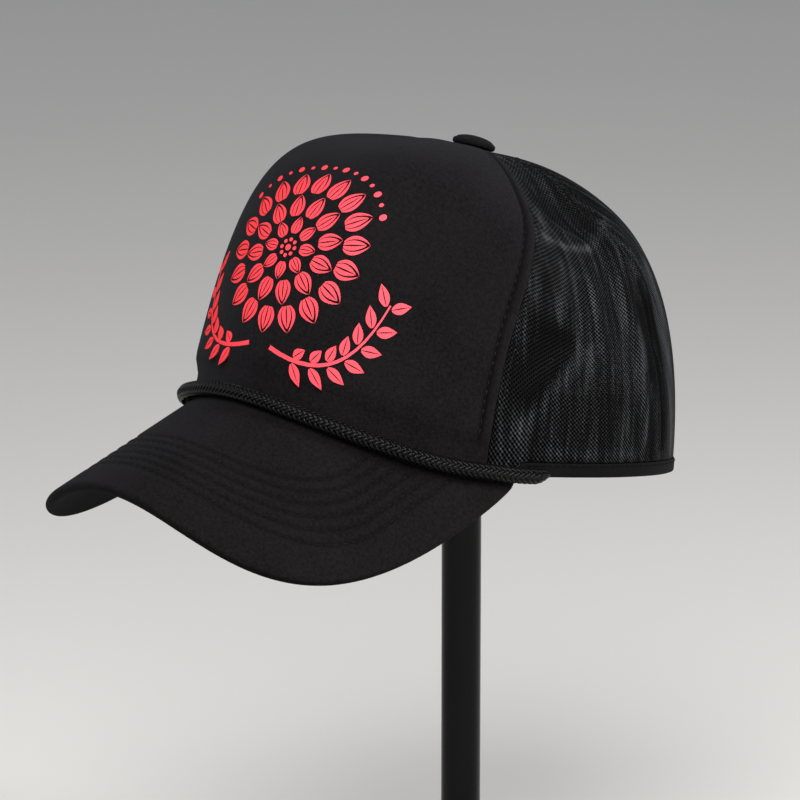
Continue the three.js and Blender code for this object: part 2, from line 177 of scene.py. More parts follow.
def wrapped(angle: Array) -> Array:
    """Angle brought between -180 and 180 degrees."""
    return (np.asarray(angle, float) + 180.0) % 360.0 - 180.0


def smooth_step(value: Array, low: float, high: float) -> Array:
    """Eases from 0 at low to 1 at high: 3t^2 - 2t^3 of the clamped share t."""
    share = np.clip((np.asarray(value, float) - low) / (high - low), 0.0, 1.0)
    return share * share * (3.0 - 2.0 * share)


def mix(start: Array, end: Array, share: Array) -> Array:
    """Straight blend from start to end."""
    return start + (end - start) * share


def unit(vectors: Array) -> Array:
    """Vectors brought to length one."""
    return vectors / np.maximum(np.linalg.norm(vectors, axis=-1, keepdims=True), 1e-9)


def stacked(*parts: Array) -> Array:
    """Numbers joined into points along a new last axis."""
    return np.stack(np.broadcast_arrays(*parts), axis=-1)


def distance_gone(path: Array) -> Array:
    """Distance along a path from its start to each of its points."""
    return np.concatenate([[0.0], np.cumsum(np.linalg.norm(np.diff(path, axis=0), axis=1))])


def at_distance(at: Array, gone: Array, values: Array) -> Array:
    """Values given along a path, such as its points, read again at other distances from its start."""
    return stacked(*(np.interp(at, gone, column) for column in values.T))


def flat_place(angle: Array, share: Array) -> Array:
    """Place on the crown's cloth laid flat, in millimetres across and up."""
    return stacked(DEGREE_WIDTH * wrapped(angle), CLOTH_HEIGHT * np.asarray(share, float))


def stroke(angle: Array, share: Array, line: tuple[float, ...], half: float) -> tuple[Array, Array]:
    """Nearness of places on the crown to a straight stroke on its flat cloth.

    Args:
        angle: Degrees round the head.
        share: Way up the crown.
        line: Start angle and share, end angle and share.
        half: Half width of the stroke in millimetres.

    Returns:
        A Gaussian of the distance to the stroke, and the way along it from 0 to 1.
    """
    start, end = flat_place(line[0], line[1]), flat_place(line[2], line[3])
    run = end - start
    from_start = flat_place(angle, share) - start
    way = np.clip(from_start @ run / (run @ run), 0.0, 1.0)
    away = np.linalg.norm(from_start - way[..., None] * run, axis=-1)
    return np.exp(-((away / half) ** 2) / 2.0), way


@dataclass(frozen=True)
class Pose:
    """How a piece's own frame stands in the row frame: a lean about X, then a shift."""

    lean: float = 0.0
    shift: tuple[float, float, float] = (0.0, 0.0, 0.0)

    def place(self, points: Array) -> Array:
        """Turns points about X by the lean and adds the shift, in millimetres."""
        turn = np.radians(self.lean)
        x, y, z = np.moveaxis(np.asarray(points, float), -1, 0)
        turned = stacked(x, y * np.cos(turn) + z * np.sin(turn), z * np.cos(turn) - y * np.sin(turn))
        return turned + np.array(self.shift)


HANGING = Pose(lean=8.3, shift=(0.0, -10.6, 200.0))
STANDING = Pose()


@dataclass(frozen=True)
class RimLine:
    """Head opening and the level of its edge, with the brim's rolled surface in front."""

    half_width: float = 82.1
    front_reach: float = 102.7
    back_reach: float = 91.3
    side_rise: float = 4.8
    back_drop: float = 4.4
    brim_pitch: float = 28.3
    roll_radius: float = 56.1
    brim_end: float = 71.4
    brim_end_rise: float = 4.5
    brim_side: float = 69.3

    def plan(self, angle: Array) -> Array:
        """Plan of the rim: a half ellipse in front joined to a shorter one behind."""
        turn = np.radians(angle)
        reach = np.where(np.cos(turn) > 0.0, self.front_reach, self.back_reach)
        return stacked(self.half_width * np.sin(turn), -reach * np.cos(turn))

    def roll(self, x: Array, y: Array) -> Array:
        """Brim surface before it is levelled: a slope to the front less x^2 over twice the radius."""
        slope = np.tan(np.radians(self.brim_pitch))
        return slope * (y + self.front_reach) - x * x / (2.0 * self.roll_radius)

    def brim_height(self, x: Array, y: Array) -> Array:
        """Brim surface, levelled so that its end meets the rim at brim_end_rise."""
        end = self.plan(np.array(self.brim_end))
        return self.roll(x, y) - self.roll(end[0], end[1]) + self.brim_end_rise

    def level(self, angle: Array) -> Array:
        """Height of the rim: on the brim in front, and a quadratic curve behind the brim's end."""
        away = np.abs(wrapped(angle))
        plan = self.plan(angle)
        back = np.clip((away - self.brim_end) / (180.0 - self.brim_end), 0.0, 1.0)
        behind = (
            self.brim_end_rise * (1.0 - back) ** 2
            + 2.0 * self.side_rise * back * (1.0 - back)
            - self.back_drop * back**2
        )
        return np.where(away < self.brim_end, self.brim_height(plan[..., 0], plan[..., 1]), behind)


@dataclass(frozen=True)
class CrownWall:
    """Surface of the crown, which every piece of the wall is laid on."""

    rim: RimLine = RimLine()
    height: float = 113.3
    top_y: float = -0.6
    panel_top: float = 0.97
    back_seam: float = 117.0
    seam_at_rim: float = 62.3
    seam_at_shoulder: float = 74.7
    shoulder_share: float = 0.6
    arch_half_width: float = 34.0
    arch_height: float = 44.0
    arch_binding: float = 4.0
    binding_height: float = 5.0
    gap: float = 0.3

    def section(self, column: int, angle: Array) -> Array:
        """One column of SECTIONS at any angle.

        Args:
            column: Number of the column.
            angle: Degrees round the head.

        Returns:
            Its value, by an even Catmull-Rom curve through the rows, mirrored at both ends.
        """
        along = np.abs(wrapped(angle)) / SECTION_STEP
        first = np.minimum(along.astype(int), len(SECTIONS) - 2)
        values = SECTIONS[:, column]
        values = np.concatenate([values[1:2], values, values[-2:-1]])
        before, start, end, after = (values[first + k] for k in range(4))
        t = along - first
        return (
            (2.0 * t**3 - 3.0 * t**2 + 1.0) * start
            + (t**3 - 2.0 * t**2 + t) * (end - before) / 2.0
            + (3.0 * t**2 - 2.0 * t**3) * end
            + (t**3 - t**2) * (after - start) / 2.0
        )

    def smooth(self, angle: Array, share: Array) -> Array:
        """Crown without dents: each upright section is a cubic Bezier curve from rim to top."""
        angle, share = np.broadcast_arrays(np.asarray(angle, float), np.asarray(share, float))
        rest = 1.0 - share
        first, second = rest**3, 3.0 * rest**2 * share
        third, fourth = 3.0 * rest * share**2, share**3
        lean, rise, reach, lift = (self.section(column, angle) for column in range(4))
        out = first + second * (1.0 - lean) + third * reach
        up = first * self.rim.level(angle) + second * rise
        up = up + third * (self.height + lift) + fourth * self.height
        plan = self.rim.plan(angle)
        return stacked(plan[..., 0] * out, mix(self.top_y, plan[..., 1], out), up)

    def dent(self, angle: Array, share: Array) -> Array:
        """Depth below the smooth crown: the sum of round dents and of straight creases.

        Args:
            angle: Degrees round the head.
            share: Way up the crown.

        Returns:
            Depth in millimetres: a Gaussian of the distance to each dent's middle or crease's line.
        """
        depth = np.zeros(np.broadcast(angle, share).shape)
        for middle, height, deep, across, along in DENTS:
            aside = wrapped(angle - middle) / across
            above = (share - height) / along
            depth = depth + deep * np.exp(-(aside**2 + above**2) / 2.0)
        for *line, deep, half in CREASES:
            near, way = stroke(angle, share, tuple(line), half)
            depth = depth + 1.5 * deep * near * (0.35 + 2.6 * way * (1.0 - way))
        return depth

    def normal(self, angle: Array, share: Array) -> Array:
        """Outward direction of the smooth crown, from small steps round it and up it."""
        steady = np.clip(share, 0.001, 0.985)
        across = self.smooth(angle + 0.05, steady) - self.smooth(angle - 0.05, steady)
        along = self.smooth(angle, steady + 0.001) - self.smooth(angle, steady - 0.001)
        return unit(np.cross(across, along))

    def point(self, angle: Array, share: Array, lift: Array = 0.0) -> Array:
        """Point of the dented crown at a lift along its normal."""
        angle, share = np.broadcast_arrays(np.asarray(angle, float), np.asarray(share, float))
        out = np.asarray(lift - self.dent(angle, share))
        return self.smooth(angle, share) + self.normal(angle, share) * out[..., None]

    def share_at(self, angle: Array, height: Array) -> Array:
        """Share at which the crown stands a height above its rim.

        Args:
            angle: Degrees round the head.
            height: Millimetres above the rim.

        Returns:
            The share, found by halving its range 24 times.
        """
        angle, height = np.broadcast_arrays(np.asarray(angle, float), np.asarray(height, float))
        goal = self.rim.level(angle) + height
        low, high = np.zeros(angle.shape), np.full(angle.shape, 0.7)
        for _ in range(24):
            middle = (low + high) / 2.0
            below = self.smooth(angle, middle)[..., 2] < goal
            low, high = np.where(below, middle, low), np.where(below, high, middle)
        return low

    def radius(self, angle: Array, share: Array) -> Array:
        """Distance of the wall from the crown's upright axis."""
        at = self.smooth(angle, share)
        return np.hypot(at[..., 0], at[..., 1] - self.top_y)

    def across(self, width: Array, angle: Array, share: Array) -> Array:
        """Degrees that a width spans round the crown."""
        return np.degrees(width / self.radius(angle, share))

    def front_seam(self, share: Array, sign: int = 1) -> Array:
        """Angle of the seam between front panel and net, which eases back up to the shoulder."""
        way = smooth_step(share, 0.0, self.shoulder_share)
        return sign * mix(self.seam_at_rim, self.seam_at_shoulder, way)

    def angle_at_offset(self, offset: Array) -> Array:
        """Angle at which the back of the rim lies a distance from the centre line."""
        return 180.0 - np.degrees(np.arcsin(np.asarray(offset) / self.rim.half_width))

    def net_bottom(self, angle: Array) -> Array:
        """Share of the net's lower edge: over the binding, and an ellipse round the arch."""
        away = np.abs(wrapped(angle))
        grown = self.arch_binding + self.gap
        offset = np.abs(self.rim.plan(angle)[..., 0]) / (self.arch_half_width + grown)
        behind = (away > 90.0) & (offset < 1.0)
        arch = np.where(behind, (self.arch_height + grown) * np.sqrt(np.clip(1.0 - offset**2, 0.0, 1.0)), 0.0)
        height = np.maximum(arch, self.binding_height + self.gap)
        return self.share_at(angle, np.where(away < self.rim.brim_side, self.gap, height))


CROWN = CrownWall()


def level_seam(angle: float, share: Array) -> Array:
    """Angle of a seam that runs straight up the crown."""
    return np.full(np.shape(share), angle)


def ring_faces(rings: int, size: int) -> Array:
    """Quads between neighbouring closed rings, turned to face out."""
    ring, k = np.meshgrid(np.arange(rings - 1), np.arange(size), indexing="ij")
    after = (k + 1) % size
    corners = (ring * size + k, (ring + 1) * size + k, (ring + 1) * size + after, ring * size + after)
    return np.stack(corners, axis=-1).reshape(-1, 4)


def ladder_faces(rings: int, size: int) -> Array:
    """Quads that close the first and last ring of a wall, from its outer to its inner side."""
    k = np.arange(size // 2 - 1)
    facing = size - 1 - k
    last = (rings - 1) * size
    first_end = np.stack([k, k + 1, facing - 1, facing], axis=-1)
    last_end = last + np.stack([facing, facing - 1, k + 1, k], axis=-1)
    return np.concatenate([first_end, last_end])


def cap_faces(rings: int, size: int) -> Array:
    """One many-sided face on the first and on the last ring."""
    around = np.arange(size)
    return np.stack([around, (rings - 1) * size + around[::-1]])


def signed_volume(points: Array, faces: list[Array]) -> float:
    """Volume inside closed faces, from the sum of the fans' triple products; below zero inside out."""
    total = 0.0
    for group in faces:
        start = points[group[:, 0]]
        for k in range(1, group.shape[1] - 1):
            pair = np.cross(points[group[:, k]], points[group[:, k + 1]])
            total += float(np.einsum("ij,ij->", start, pair))
    return total / 6.0


@dataclass(frozen=True)
class Skin:
    """Mesh data of one piece before it becomes a Blender object.

    Attributes:
        points: Places in millimetres in the piece's own frame, one row for each vertex.
        faces: Arrays of corner numbers, one array for each count of corners.
        weave: Place of each vertex on the flat cloth, in millimetres.
    """

    points: Array
    faces: list[Array]
    weave: Array

    @staticmethod
    def bundle(rings: Array, ladder: bool = False) -> "Skin":
        """Closed bodies, one for each stack of rings.

        Args:
            rings: Points as bodies x rings x places x 3.
            ladder: True for a wall, whose ring runs out and back; False for a round section.

        Returns:
            One skin with its ends closed, whose weave is each point's own place.
        """
        bodies, count, size = rings.shape[:3]
        ends = ladder_faces(count, size) if ladder else cap_faces(count, size)
        start = (np.arange(bodies) * count * size)[:, None, None]
        faces = [(start + block).reshape(-1, block.shape[1]) for block in (ring_faces(count, size), ends)]
        points = rings.reshape(-1, 3)
        return Skin(points, faces, points)

    @staticmethod
    def loft(rings: Array, weave: Array, ladder: bool = True) -> "Skin":
        """One closed body from rings x places x 3 points, and their places on the flat cloth."""
        body = Skin.bundle(rings[None], ladder)
        return Skin(body.points, body.faces, weave.reshape(-1, 3))

    @staticmethod
    def joined(skins: list["Skin"]) -> "Skin":
        """Several skins as one, each with its corner numbers moved on."""
        starts = np.cumsum([0] + [len(skin.points) for skin in skins[:-1]])
        groups: dict[int, list[Array]] = {}
        for start, skin in zip(starts, skins):
            for face in skin.faces:
                groups.setdefault(face.shape[1], []).append(face + start)
        faces = [np.concatenate(group) for group in groups.values()]
        points = np.concatenate([skin.points for skin in skins])
        return Skin(points, faces, np.concatenate([skin.weave for skin in skins]))

    def build(self, name: str, pose: Pose = HANGING, sharp: float = 45.0) -> bpy.types.Object:
        """Makes the Blender object, at the origin with its place in its mesh.

        Args:
            name: Name of the object.
            pose: How the piece's own frame stands.
            sharp: Angle in degrees past which an edge is drawn sharp.

        Returns:
            The new object, linked to the scene.
        """
        points = pose.place(self.points) * MILLIMETRE
        inside_out = signed_volume(points, self.faces) < 0.0
        faces = [face[:, ::-1] if inside_out else face for face in self.faces]
        corners = np.concatenate([face.ravel() for face in faces])
        sizes = np.concatenate([np.full(len(face), face.shape[1]) for face in faces])
        mesh = bpy.data.meshes.new(name)
        mesh.vertices.add(len(points))
        mesh.vertices.foreach_set("co", points.astype(np.float32).ravel())
        mesh.loops.add(len(corners))
        mesh.loops.foreach_set("vertex_index", corners.astype(np.int32))
        mesh.polygons.add(len(sizes))
        mesh.polygons.foreach_set("loop_start", (np.cumsum(sizes) - sizes).astype(np.int32))
        mesh.polygons.foreach_set("use_smooth", np.ones(len(sizes), bool))
        flat = mesh.attributes.new("cloth_place", "FLOAT_VECTOR", "POINT")
        flat.data.foreach_set("vector", self.weave.astype(np.float32).ravel())
        mesh.update(calc_edges=True)
        mesh.validate()
        mesh.set_sharp_from_angle(angle=np.radians(sharp))
        piece = bpy.data.objects.new(name, mesh)
        bpy.context.scene.collection.objects.link(piece)
        return piece


class ShaderGraph:
    """Node graph of one material, with short calls for the nodes that the finishes use."""

    def __init__(self, name: str) -> None:
        """Starts a material of the given name with its Principled shader."""
        self.material = bpy.data.materials.new(name)
        self.material.use_nodes = True
        self.tree = self.material.node_tree
        self.shader = self.tree.nodes["Principled BSDF"]

    def join(self, source: Socket, target: Socket) -> None:
        """Links an output to an input."""
        self.tree.links.new(source, target)

    def feed(self, socket: Socket, value: Socket | float) -> None:
        """Gives an input a number, or links an output to it."""
        if isinstance(value, Socket):
            self.join(value, socket)
        else:
            socket.default_value = value

    def place(self) -> Socket:
        """Place in the row frame, in metres."""
        return self.tree.nodes.new("ShaderNodeTexCoord").outputs["Object"]

    def cloth_place(self) -> Socket:
        """Place on the flat cloth, in millimetres; its third number is painted shade on cloth and painted
        highlights and shade on the net.
        """
        node = self.tree.nodes.new("ShaderNodeAttribute")
        node.attribute_name = "cloth_place"
        return node.outputs["Vector"]

    def vector(self, *parts: Socket | float) -> Socket:
        """Vector of three numbers."""
        node = self.tree.nodes.new("ShaderNodeCombineXYZ")
        for socket, part in zip(node.inputs, parts):
            self.feed(socket, part)
        return node.outputs[0]

    def axes(self, vector: Socket) -> list[Socket]:
        """The three numbers of a vector."""
        node = self.tree.nodes.new("ShaderNodeSeparateXYZ")
        self.join(vector, node.inputs[0])
        return list(node.outputs)

    def work(self, operation: str, first: Socket | float, second: Socket | float = 0.0) -> Socket:
        """Result of one Math node on one or two values."""
        node = self.tree.nodes.new("ShaderNodeMath")
        node.operation = operation
        self.feed(node.inputs[0], first)
        self.feed(node.inputs[1], second)
        return node.outputs[0]

    def wave(self, value: Socket, pitch: float) -> Socket:
        """Sine of a distance in millimetres, which repeats every pitch, from -1 to 1."""
        return self.work("SINE", self.work("MULTIPLY", value, 2.0 * np.pi / pitch))

    def noise(self, scale: float, detail: float = 3.0, vector: Socket | None = None) -> Socket:
        """Noise from 0 to 1 at a scale in features for each unit of the vector."""
        node = self.tree.nodes.new("ShaderNodeTexNoise")
        node.inputs["Scale"].default_value = scale
        node.inputs["Detail"].default_value = detail
        self.join(vector or self.place(), node.inputs["Vector"])
        return node.outputs["Fac"]

    def spread(self, value: Socket, low: float, high: float, start: float = 0.0, end: float = 1.0) -> Socket:
        """Value between low and high brought to start and end, clamped."""
        node = self.tree.nodes.new("ShaderNodeMapRange")
        for key, number in zip(("From Min", "From Max", "To Min", "To Max"), (low, high, start, end)):
            node.inputs[key].default_value = number
        self.join(value, node.inputs["Value"])
        return node.outputs["Result"]

    def blend(self, share: Socket, first: Colour | Socket, second: Colour | Socket) -> Socket:
        """Colour between two colours."""
        node = self.tree.nodes.new("ShaderNodeMix")
        node.data_type = "RGBA"
        self.join(share, node.inputs["Factor"])
        for key, colour in ((6, first), (7, second)):
            if isinstance(colour, Socket):
                self.join(colour, node.inputs[key])
            else:
                node.inputs[key].default_value = (*colour, 1.0)
        return node.outputs[2]

    def bump(self, height: Socket, depth: float) -> None:
        """Raises the surface by a height from 0 to 1 times a depth in millimetres."""
        node = self.tree.nodes.new("ShaderNodeBump")
        node.inputs["Strength"].default_value = 1.0
        node.inputs["Distance"].default_value = depth * MILLIMETRE
        self.join(height, node.inputs["Height"])
        self.join(node.outputs["Normal"], self.shader.inputs["Normal"])

    def surface(self, colour: Socket, roughness: Socket) -> None:
        """Links the shader's colour and roughness."""
        self.join(colour, self.shader.inputs["Base Color"])
        self.join(roughness, self.shader.inputs["Roughness"])

    def settings(self, **values: float | tuple[float, ...]) -> None:
        """Sets sockets of the Principled shader; an underscore in a name stands for a space."""
        for name, value in values.items():
            self.shader.inputs[name.replace("_", " ")].default_value = value


def shades(colour: Colour, *strengths: float) -> list[Colour]:
    """A colour times each strength."""
    return [tuple(strength * part for part in colour) for strength in strengths]


@dataclass(frozen=True)
class ClothFinish:
    """Woven or knitted black cloth: thread pattern, soft pile and a slight change of shade.

    The third number of the cloth's place is painted shade, from 0 to 1, as in a groove or on an underside.

    Attributes:
        name: Name of the material.
        colour: Linear colour of the dyed thread.
        weave: How the threads lie.
        pitch: Distance between threads in millimetres.
        depth: Height of the threads in millimetres.
        roughness: Mean roughness.
        sheen: Weight of the soft pile's sheen.
        specular: Strength of the threads' gloss.
        grain: Size in millimetres of the mottled grain over the weave.
    """

    name: str
    colour: Colour
    weave: Weave = Weave.KNIT
    pitch: float = 0.55
    depth: float = 0.18
    roughness: float = 0.9
    sheen: float = 0.015
    specular: float = 0.06
    grain: float = 1.1

    def threads(self, graph: ShaderGraph) -> Socket:
        """Height of the threads, from -1 to 1, by sine waves over the flat cloth."""
        across, along, _ = graph.axes(graph.cloth_place())
        if self.weave is Weave.TWILL:
            return graph.wave(graph.work("ADD", across, along), self.pitch)
        if self.weave is Weave.RIB:
            return graph.wave(along, self.pitch)
        return graph.work("MULTIPLY", graph.wave(across, self.pitch), graph.wave(along, self.pitch * 1.3))

    def material(self) -> bpy.types.Material:
        """Builds the material."""
        graph = ShaderGraph(self.name)
        threads = self.threads(graph)
        grain = graph.noise(1000.0 / self.grain, 5.0)
        cloudy = graph.noise(38.0, 3.0)
        shade = graph.work("ADD", graph.work("MULTIPLY", threads, 0.12), grain)
        shade = graph.work("ADD", shade, graph.work("MULTIPLY", cloudy, 0.35))
        # deep is the colour of the painted shade; dark and light bound the cloth's mottled tone.
        deep, dark, light = shades(self.colour, 0.08, 0.4, 1.9)
        dyed = graph.blend(graph.spread(shade, 0.4, 0.95), dark, light)
        # Painted shade: the third number of the cloth's place blends the cloth towards deep.
        shadow = graph.spread(graph.axes(graph.cloth_place())[2], 0.0, 1.0)
        rough = graph.spread(grain, 0.3, 0.7, self.roughness - 0.06, self.roughness + 0.06)
        graph.surface(graph.blend(shadow, dyed, deep), rough)
        height = graph.work("ADD", graph.work("MULTIPLY", threads, 0.35), graph.work("MULTIPLY", grain, 1.1))
        graph.bump(height, self.depth)
        graph.settings(
            Specular_IOR_Level=self.specular,
            Sheen_Weight=self.sheen,
            Sheen_Roughness=0.45,
            Sheen_Tint=(0.82, 0.84, 1.0, 1.0),
        )
        return graph.material


@dataclass(frozen=True)
class ThreadFinish:
    """Shiny polyester thread, as in the net, the braid and the stitches."""

    name: str
    colour: Colour
    roughness: float = 0.34
    specular: float = 0.5
    fibre: float = 0.35
    depth: float = 0.04

    def material(self) -> bpy.types.Material:
        """Builds the material: fine fibres in the gloss and a slow change of shade."""
        graph = ShaderGraph(self.name)
        fibre = graph.noise(1000.0 / self.fibre, 2.0)
        cloudy = graph.noise(60.0, 3.0)
        colour = graph.blend(graph.spread(cloudy, 0.3, 0.7), *shades(self.colour, 0.7, 1.5))
        graph.surface(colour, graph.spread(fibre, 0.3, 0.7, self.roughness - 0.1, self.roughness + 0.12))
        graph.bump(fibre, self.depth)
        graph.settings(Specular_IOR_Level=self.specular)
        return graph.material


@dataclass(frozen=True)
class NetFinish:
    """Glossy net thread with painted light: painted highlights on the knots, upright painted highlight
    streaks, and the painted highlights and shade given with the mesh.

    Attributes:
        name: Name of the material.
        step: Distance in millimetres across the net from a knot to the hole beside it.
        dull: Colour of the thread between the knots, and the painted shade in the net's hollows.
        painted_highlight: Colour of the painted highlight on a knot where the painted light is strongest.
        specular: Strength of the gloss.
    """

    name: str = "net_thread"
    step: float = 0.75
    dull: Colour = (0.0005, 0.0005, 0.0005)
    painted_highlight: Colour = (0.068, 0.07, 0.076)
    specular: float = 0.07

    def material(self) -> bpy.types.Material:
        """Builds the material with painted light: two diagonal cosines that peak as painted highlights at the
        knots, upright painted highlight streaks and glints, and the painted highlights and shade of the
        strokes given with the mesh.
        """
        graph = ShaderGraph(self.name)
        across, along, painted_light = graph.axes(graph.cloth_place())
        drawn_out = graph.vector(graph.work("MULTIPLY", across, 0.5), graph.work("MULTIPLY", along, 0.04))
        # Painted highlights: upright streaks and fine glints on the thread.
        streaks = graph.work("MULTIPLY", graph.noise(1.0, 3.0, drawn_out), 1.3)
        glints = graph.work("MULTIPLY", graph.noise(0.9, 2.0, graph.vector(across, along)), 0.7)
        light = graph.work("ADD", graph.work("ADD", streaks, glints), graph.work("MULTIPLY", painted_light, 0.4))
        # Painted highlights where the two diagonal cosines peak at the knots.
        for diagonal, height in (("ADD", 0.31), ("SUBTRACT", 0.14)):
            turn = graph.work("MULTIPLY", graph.work(diagonal, across, along), np.pi / self.step)
            light = graph.work("ADD", light, graph.work("MULTIPLY", graph.work("COSINE", turn), height))
        share = graph.work("POWER", graph.spread(light, 1.0, 1.75), 1.6)
        graph.surface(graph.blend(share, self.dull, self.painted_highlight), graph.spread(light, 1.0, 1.8, 0.5, 0.25))
        graph.settings(Specular_IOR_Level=self.specular)
        return graph.material


@dataclass(frozen=True)
class HardFinish:
    """Smooth hard surface: lacquered metal or moulded plastic, with faint wear in its gloss."""

    name: str
    colour: Colour
    roughness: float
    specular: float = 0.35
    grain: float = 2.5
    depth: float = 0.01

    def material(self) -> bpy.types.Material:
        """Builds the material: a fine orange peel and cloudy wipe marks."""
        graph = ShaderGraph(self.name)
        peel = graph.noise(1000.0 / self.grain, 2.0)
        wiped = graph.noise(25.0, 4.0)
        colour = graph.blend(graph.spread(wiped, 0.35, 0.65), *shades(self.colour, 0.8, 1.3))
        graph.surface(colour, graph.spread(wiped, 0.3, 0.7, self.roughness * 0.8, self.roughness * 1.35))
        graph.bump(peel, self.depth)
        graph.settings(Specular_IOR_Level=self.specular)
        return graph.material


@dataclass(frozen=True)
class InkFinish:
    """Rubbery print ink: coral red with a painted sheen highlight that lightens it towards the wearer's left,
    with fine screen grain.
    """

    name: str = "print_ink"
    red: Colour = (0.86, 0.034, 0.042)
    painted_sheen: Colour = (0.88, 0.10, 0.135)
    worn: Colour = (0.16, 0.012, 0.014)
    roughness: float = 0.6

    def material(self) -> bpy.types.Material:
        """Builds the material: a blend across X into the painted sheen highlight, with speckles where the
        cloth shows through.
        """
        graph = ShaderGraph(self.name)
        across = graph.axes(graph.place())[0]
        # Painted sheen highlight: the red blends to a paler red across X.
        colour = graph.blend(graph.spread(across, -0.03, 0.055), self.red, self.painted_sheen)
        speckle = graph.spread(graph.noise(1500.0, 4.0), 0.60, 0.72, 0.0, 0.55)
        grain = graph.noise(2200.0, 2.0)
        rough = graph.spread(grain, 0.3, 0.7, self.roughness - 0.1, self.roughness + 0.1)
        graph.surface(graph.blend(speckle, colour, self.worn), rough)
        graph.bump(grain, 0.03)
        graph.settings(Specular_IOR_Level=0.1)
        return graph.material


@dataclass(frozen=True)
class FloorFinish:
    """Plain pale floor with a barely seen grain."""

    colour: Colour = (0.72, 0.70, 0.67)

    def material(self) -> bpy.types.Material:
        """Builds the material."""
        graph = ShaderGraph("pale_floor")
        colour = graph.blend(graph.noise(3.0, 3.0), *shades(self.colour, 0.97, 1.0))
        graph.join(colour, graph.shader.inputs["Base Color"])
        graph.settings(Roughness=0.75, Specular_IOR_Level=0.2)
        return graph.material


class Wardrobe:
    """All finishes, each made once."""

    def __init__(self) -> None:
        """Makes the materials."""
        black = (0.0058, 0.0049, 0.0052)
        self.foam_cloth = ClothFinish("foam_cloth", black, sheen=0.025).material()
        self.brim_cloth = ClothFinish("brim_cloth", (0.0054, 0.0046, 0.0048)).material()
        self.button_cloth = ClothFinish("button_cloth", (0.0052, 0.005, 0.0053), pitch=0.5).material()
        self.twill = ClothFinish("band_twill", (0.006, 0.0056, 0.006), Weave.TWILL, 0.8, 0.14).material()
        self.tape = ClothFinish("seam_tape", (0.004, 0.004, 0.0044), Weave.RIB, 0.7, 0.1).material()
        edging = (0.0028, 0.0027, 0.0028)
        self.binding = ClothFinish("rim_binding", edging, pitch=0.5, depth=0.06, roughness=0.8).material()
        self.net = NetFinish(step=NET_PITCH / np.sqrt(2.0)).material()
        self.stitch = ThreadFinish("sewing_thread", (0.0044, 0.0042, 0.0045), 0.45, 0.14).material()
        self.braid = ThreadFinish("braid_thread", (0.0015, 0.0014, 0.0014), 0.36, 0.15).material()
        self.braid_core = ThreadFinish("braid_core", (0.0012, 0.0012, 0.0012), 0.7, 0.05).material()
        self.moulded = HardFinish("moulded_strap", (0.006, 0.006, 0.007), 0.42).material()
        self.lacquer = HardFinish("black_lacquer", (0.0019, 0.0018, 0.0022), 0.14, 0.1).material()
        self.ink = InkFinish().material()
        self.floor = FloorFinish().material()


def dress(
    piece: bpy.types.Object,
    material: bpy.types.Material,
    replaces: str = "",
) -> None:
    """Gives a piece its material and its body, and hides the solid that it stands for.

    Args:
        piece: The new object.
        material: Its finish.
        replaces: Name of the solid that it stands for, if any.
    """
    piece.data.materials.append(material)
    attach(piece, "root")
    if replaces:
        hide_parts(replaces)
    LOG.info("%s: %d faces", piece.name, len(piece.data.polygons))


def wall_skin(angles: Array, shares: Array, outer: Array, inner: Array, shadow: Array) -> Skin:
    """Closed wall on the crown between an outer and an inner lift.

    Args:
        angles: Degrees, as columns x rows.
        shares: Ways up the crown, of the same shape.
        outer: Lifts of the outer face, of the same shape.
        inner: Lifts of the inner face, of the same shape.
        shadow: Painted shade of the cloth, of the same shape.

    Returns:
        A skin whose rings run up the outer face and back down the inner one.
    """
    faces = [CROWN.point(angles, shares, outer), CROWN.point(angles, shares, inner)[:, ::-1]]
    flat = stacked(np.radians(angles) * CLOTH_RADIUS, shares * CLOTH_HEIGHT, shadow)
    return Skin.loft(np.concatenate(faces, axis=1), np.concatenate([flat, flat[:, ::-1]], axis=1))


def with_shadow(points: Array, shadow: Array) -> Array:
    """Points with the cloth's painted shade there as a fourth number."""
    return np.concatenate([points, np.broadcast_to(shadow, points.shape[:-1])[..., None]], axis=-1)


def soft_rectangle(half_width: float, half_depth: float, corner: float, count: int) -> Array:
    """Outline of a rectangle with round corners, at even steps of its length.

    Args:
        half_width: Half the size along the first axis.
        half_depth: Half the size along the second axis.
        corner: Radius of the corners.
        count: Number of points.

    Returns:
        Points as count x 2: the path along four sides and four quarter circles, resampled.
    """
    turns = np.radians(np.linspace(0.0, 90.0, 7))
    quarters = [
        stacked(
            sx * (half_width - corner) + corner * np.cos(turns + start),
            sy * (half_depth - corner) + corner * np.sin(turns + start),
        )
        for sx, sy, start in ((1, 1, 0.0), (-1, 1, np.pi / 2), (-1, -1, np.pi), (1, -1, 1.5 * np.pi))
    ]
    path = np.concatenate([*quarters, quarters[0][:1]])
    gone = distance_gone(path)
    return at_distance(np.linspace(0.0, gone[-1], count, endpoint=False), gone, path)


def rounded_ends(count: int, length: float, radius: float) -> Array:
    """Scale of a section along a band, which closes over a quarter circle at each end."""
    at = np.linspace(0.0, length, count)
    near = np.minimum(at, length - at)
    return np.sqrt(np.clip(1.0 - np.clip(1.0 - near / radius, 0.0, 1.0) ** 2, 0.02, 1.0))


def frames_along(path: Array, up: Array) -> tuple[Array, Array]:
    """Sideways and upward directions along a path.

    Args:
        path: Points as count x 3.
        up: Wanted upward directions of the same shape.

    Returns:
        Two arrays of unit vectors square to the path and to each other.
    """
    tangent = unit(np.gradient(path, axis=0))
    aside = unit(np.cross(tangent, up))
    return aside, np.cross(aside, tangent)


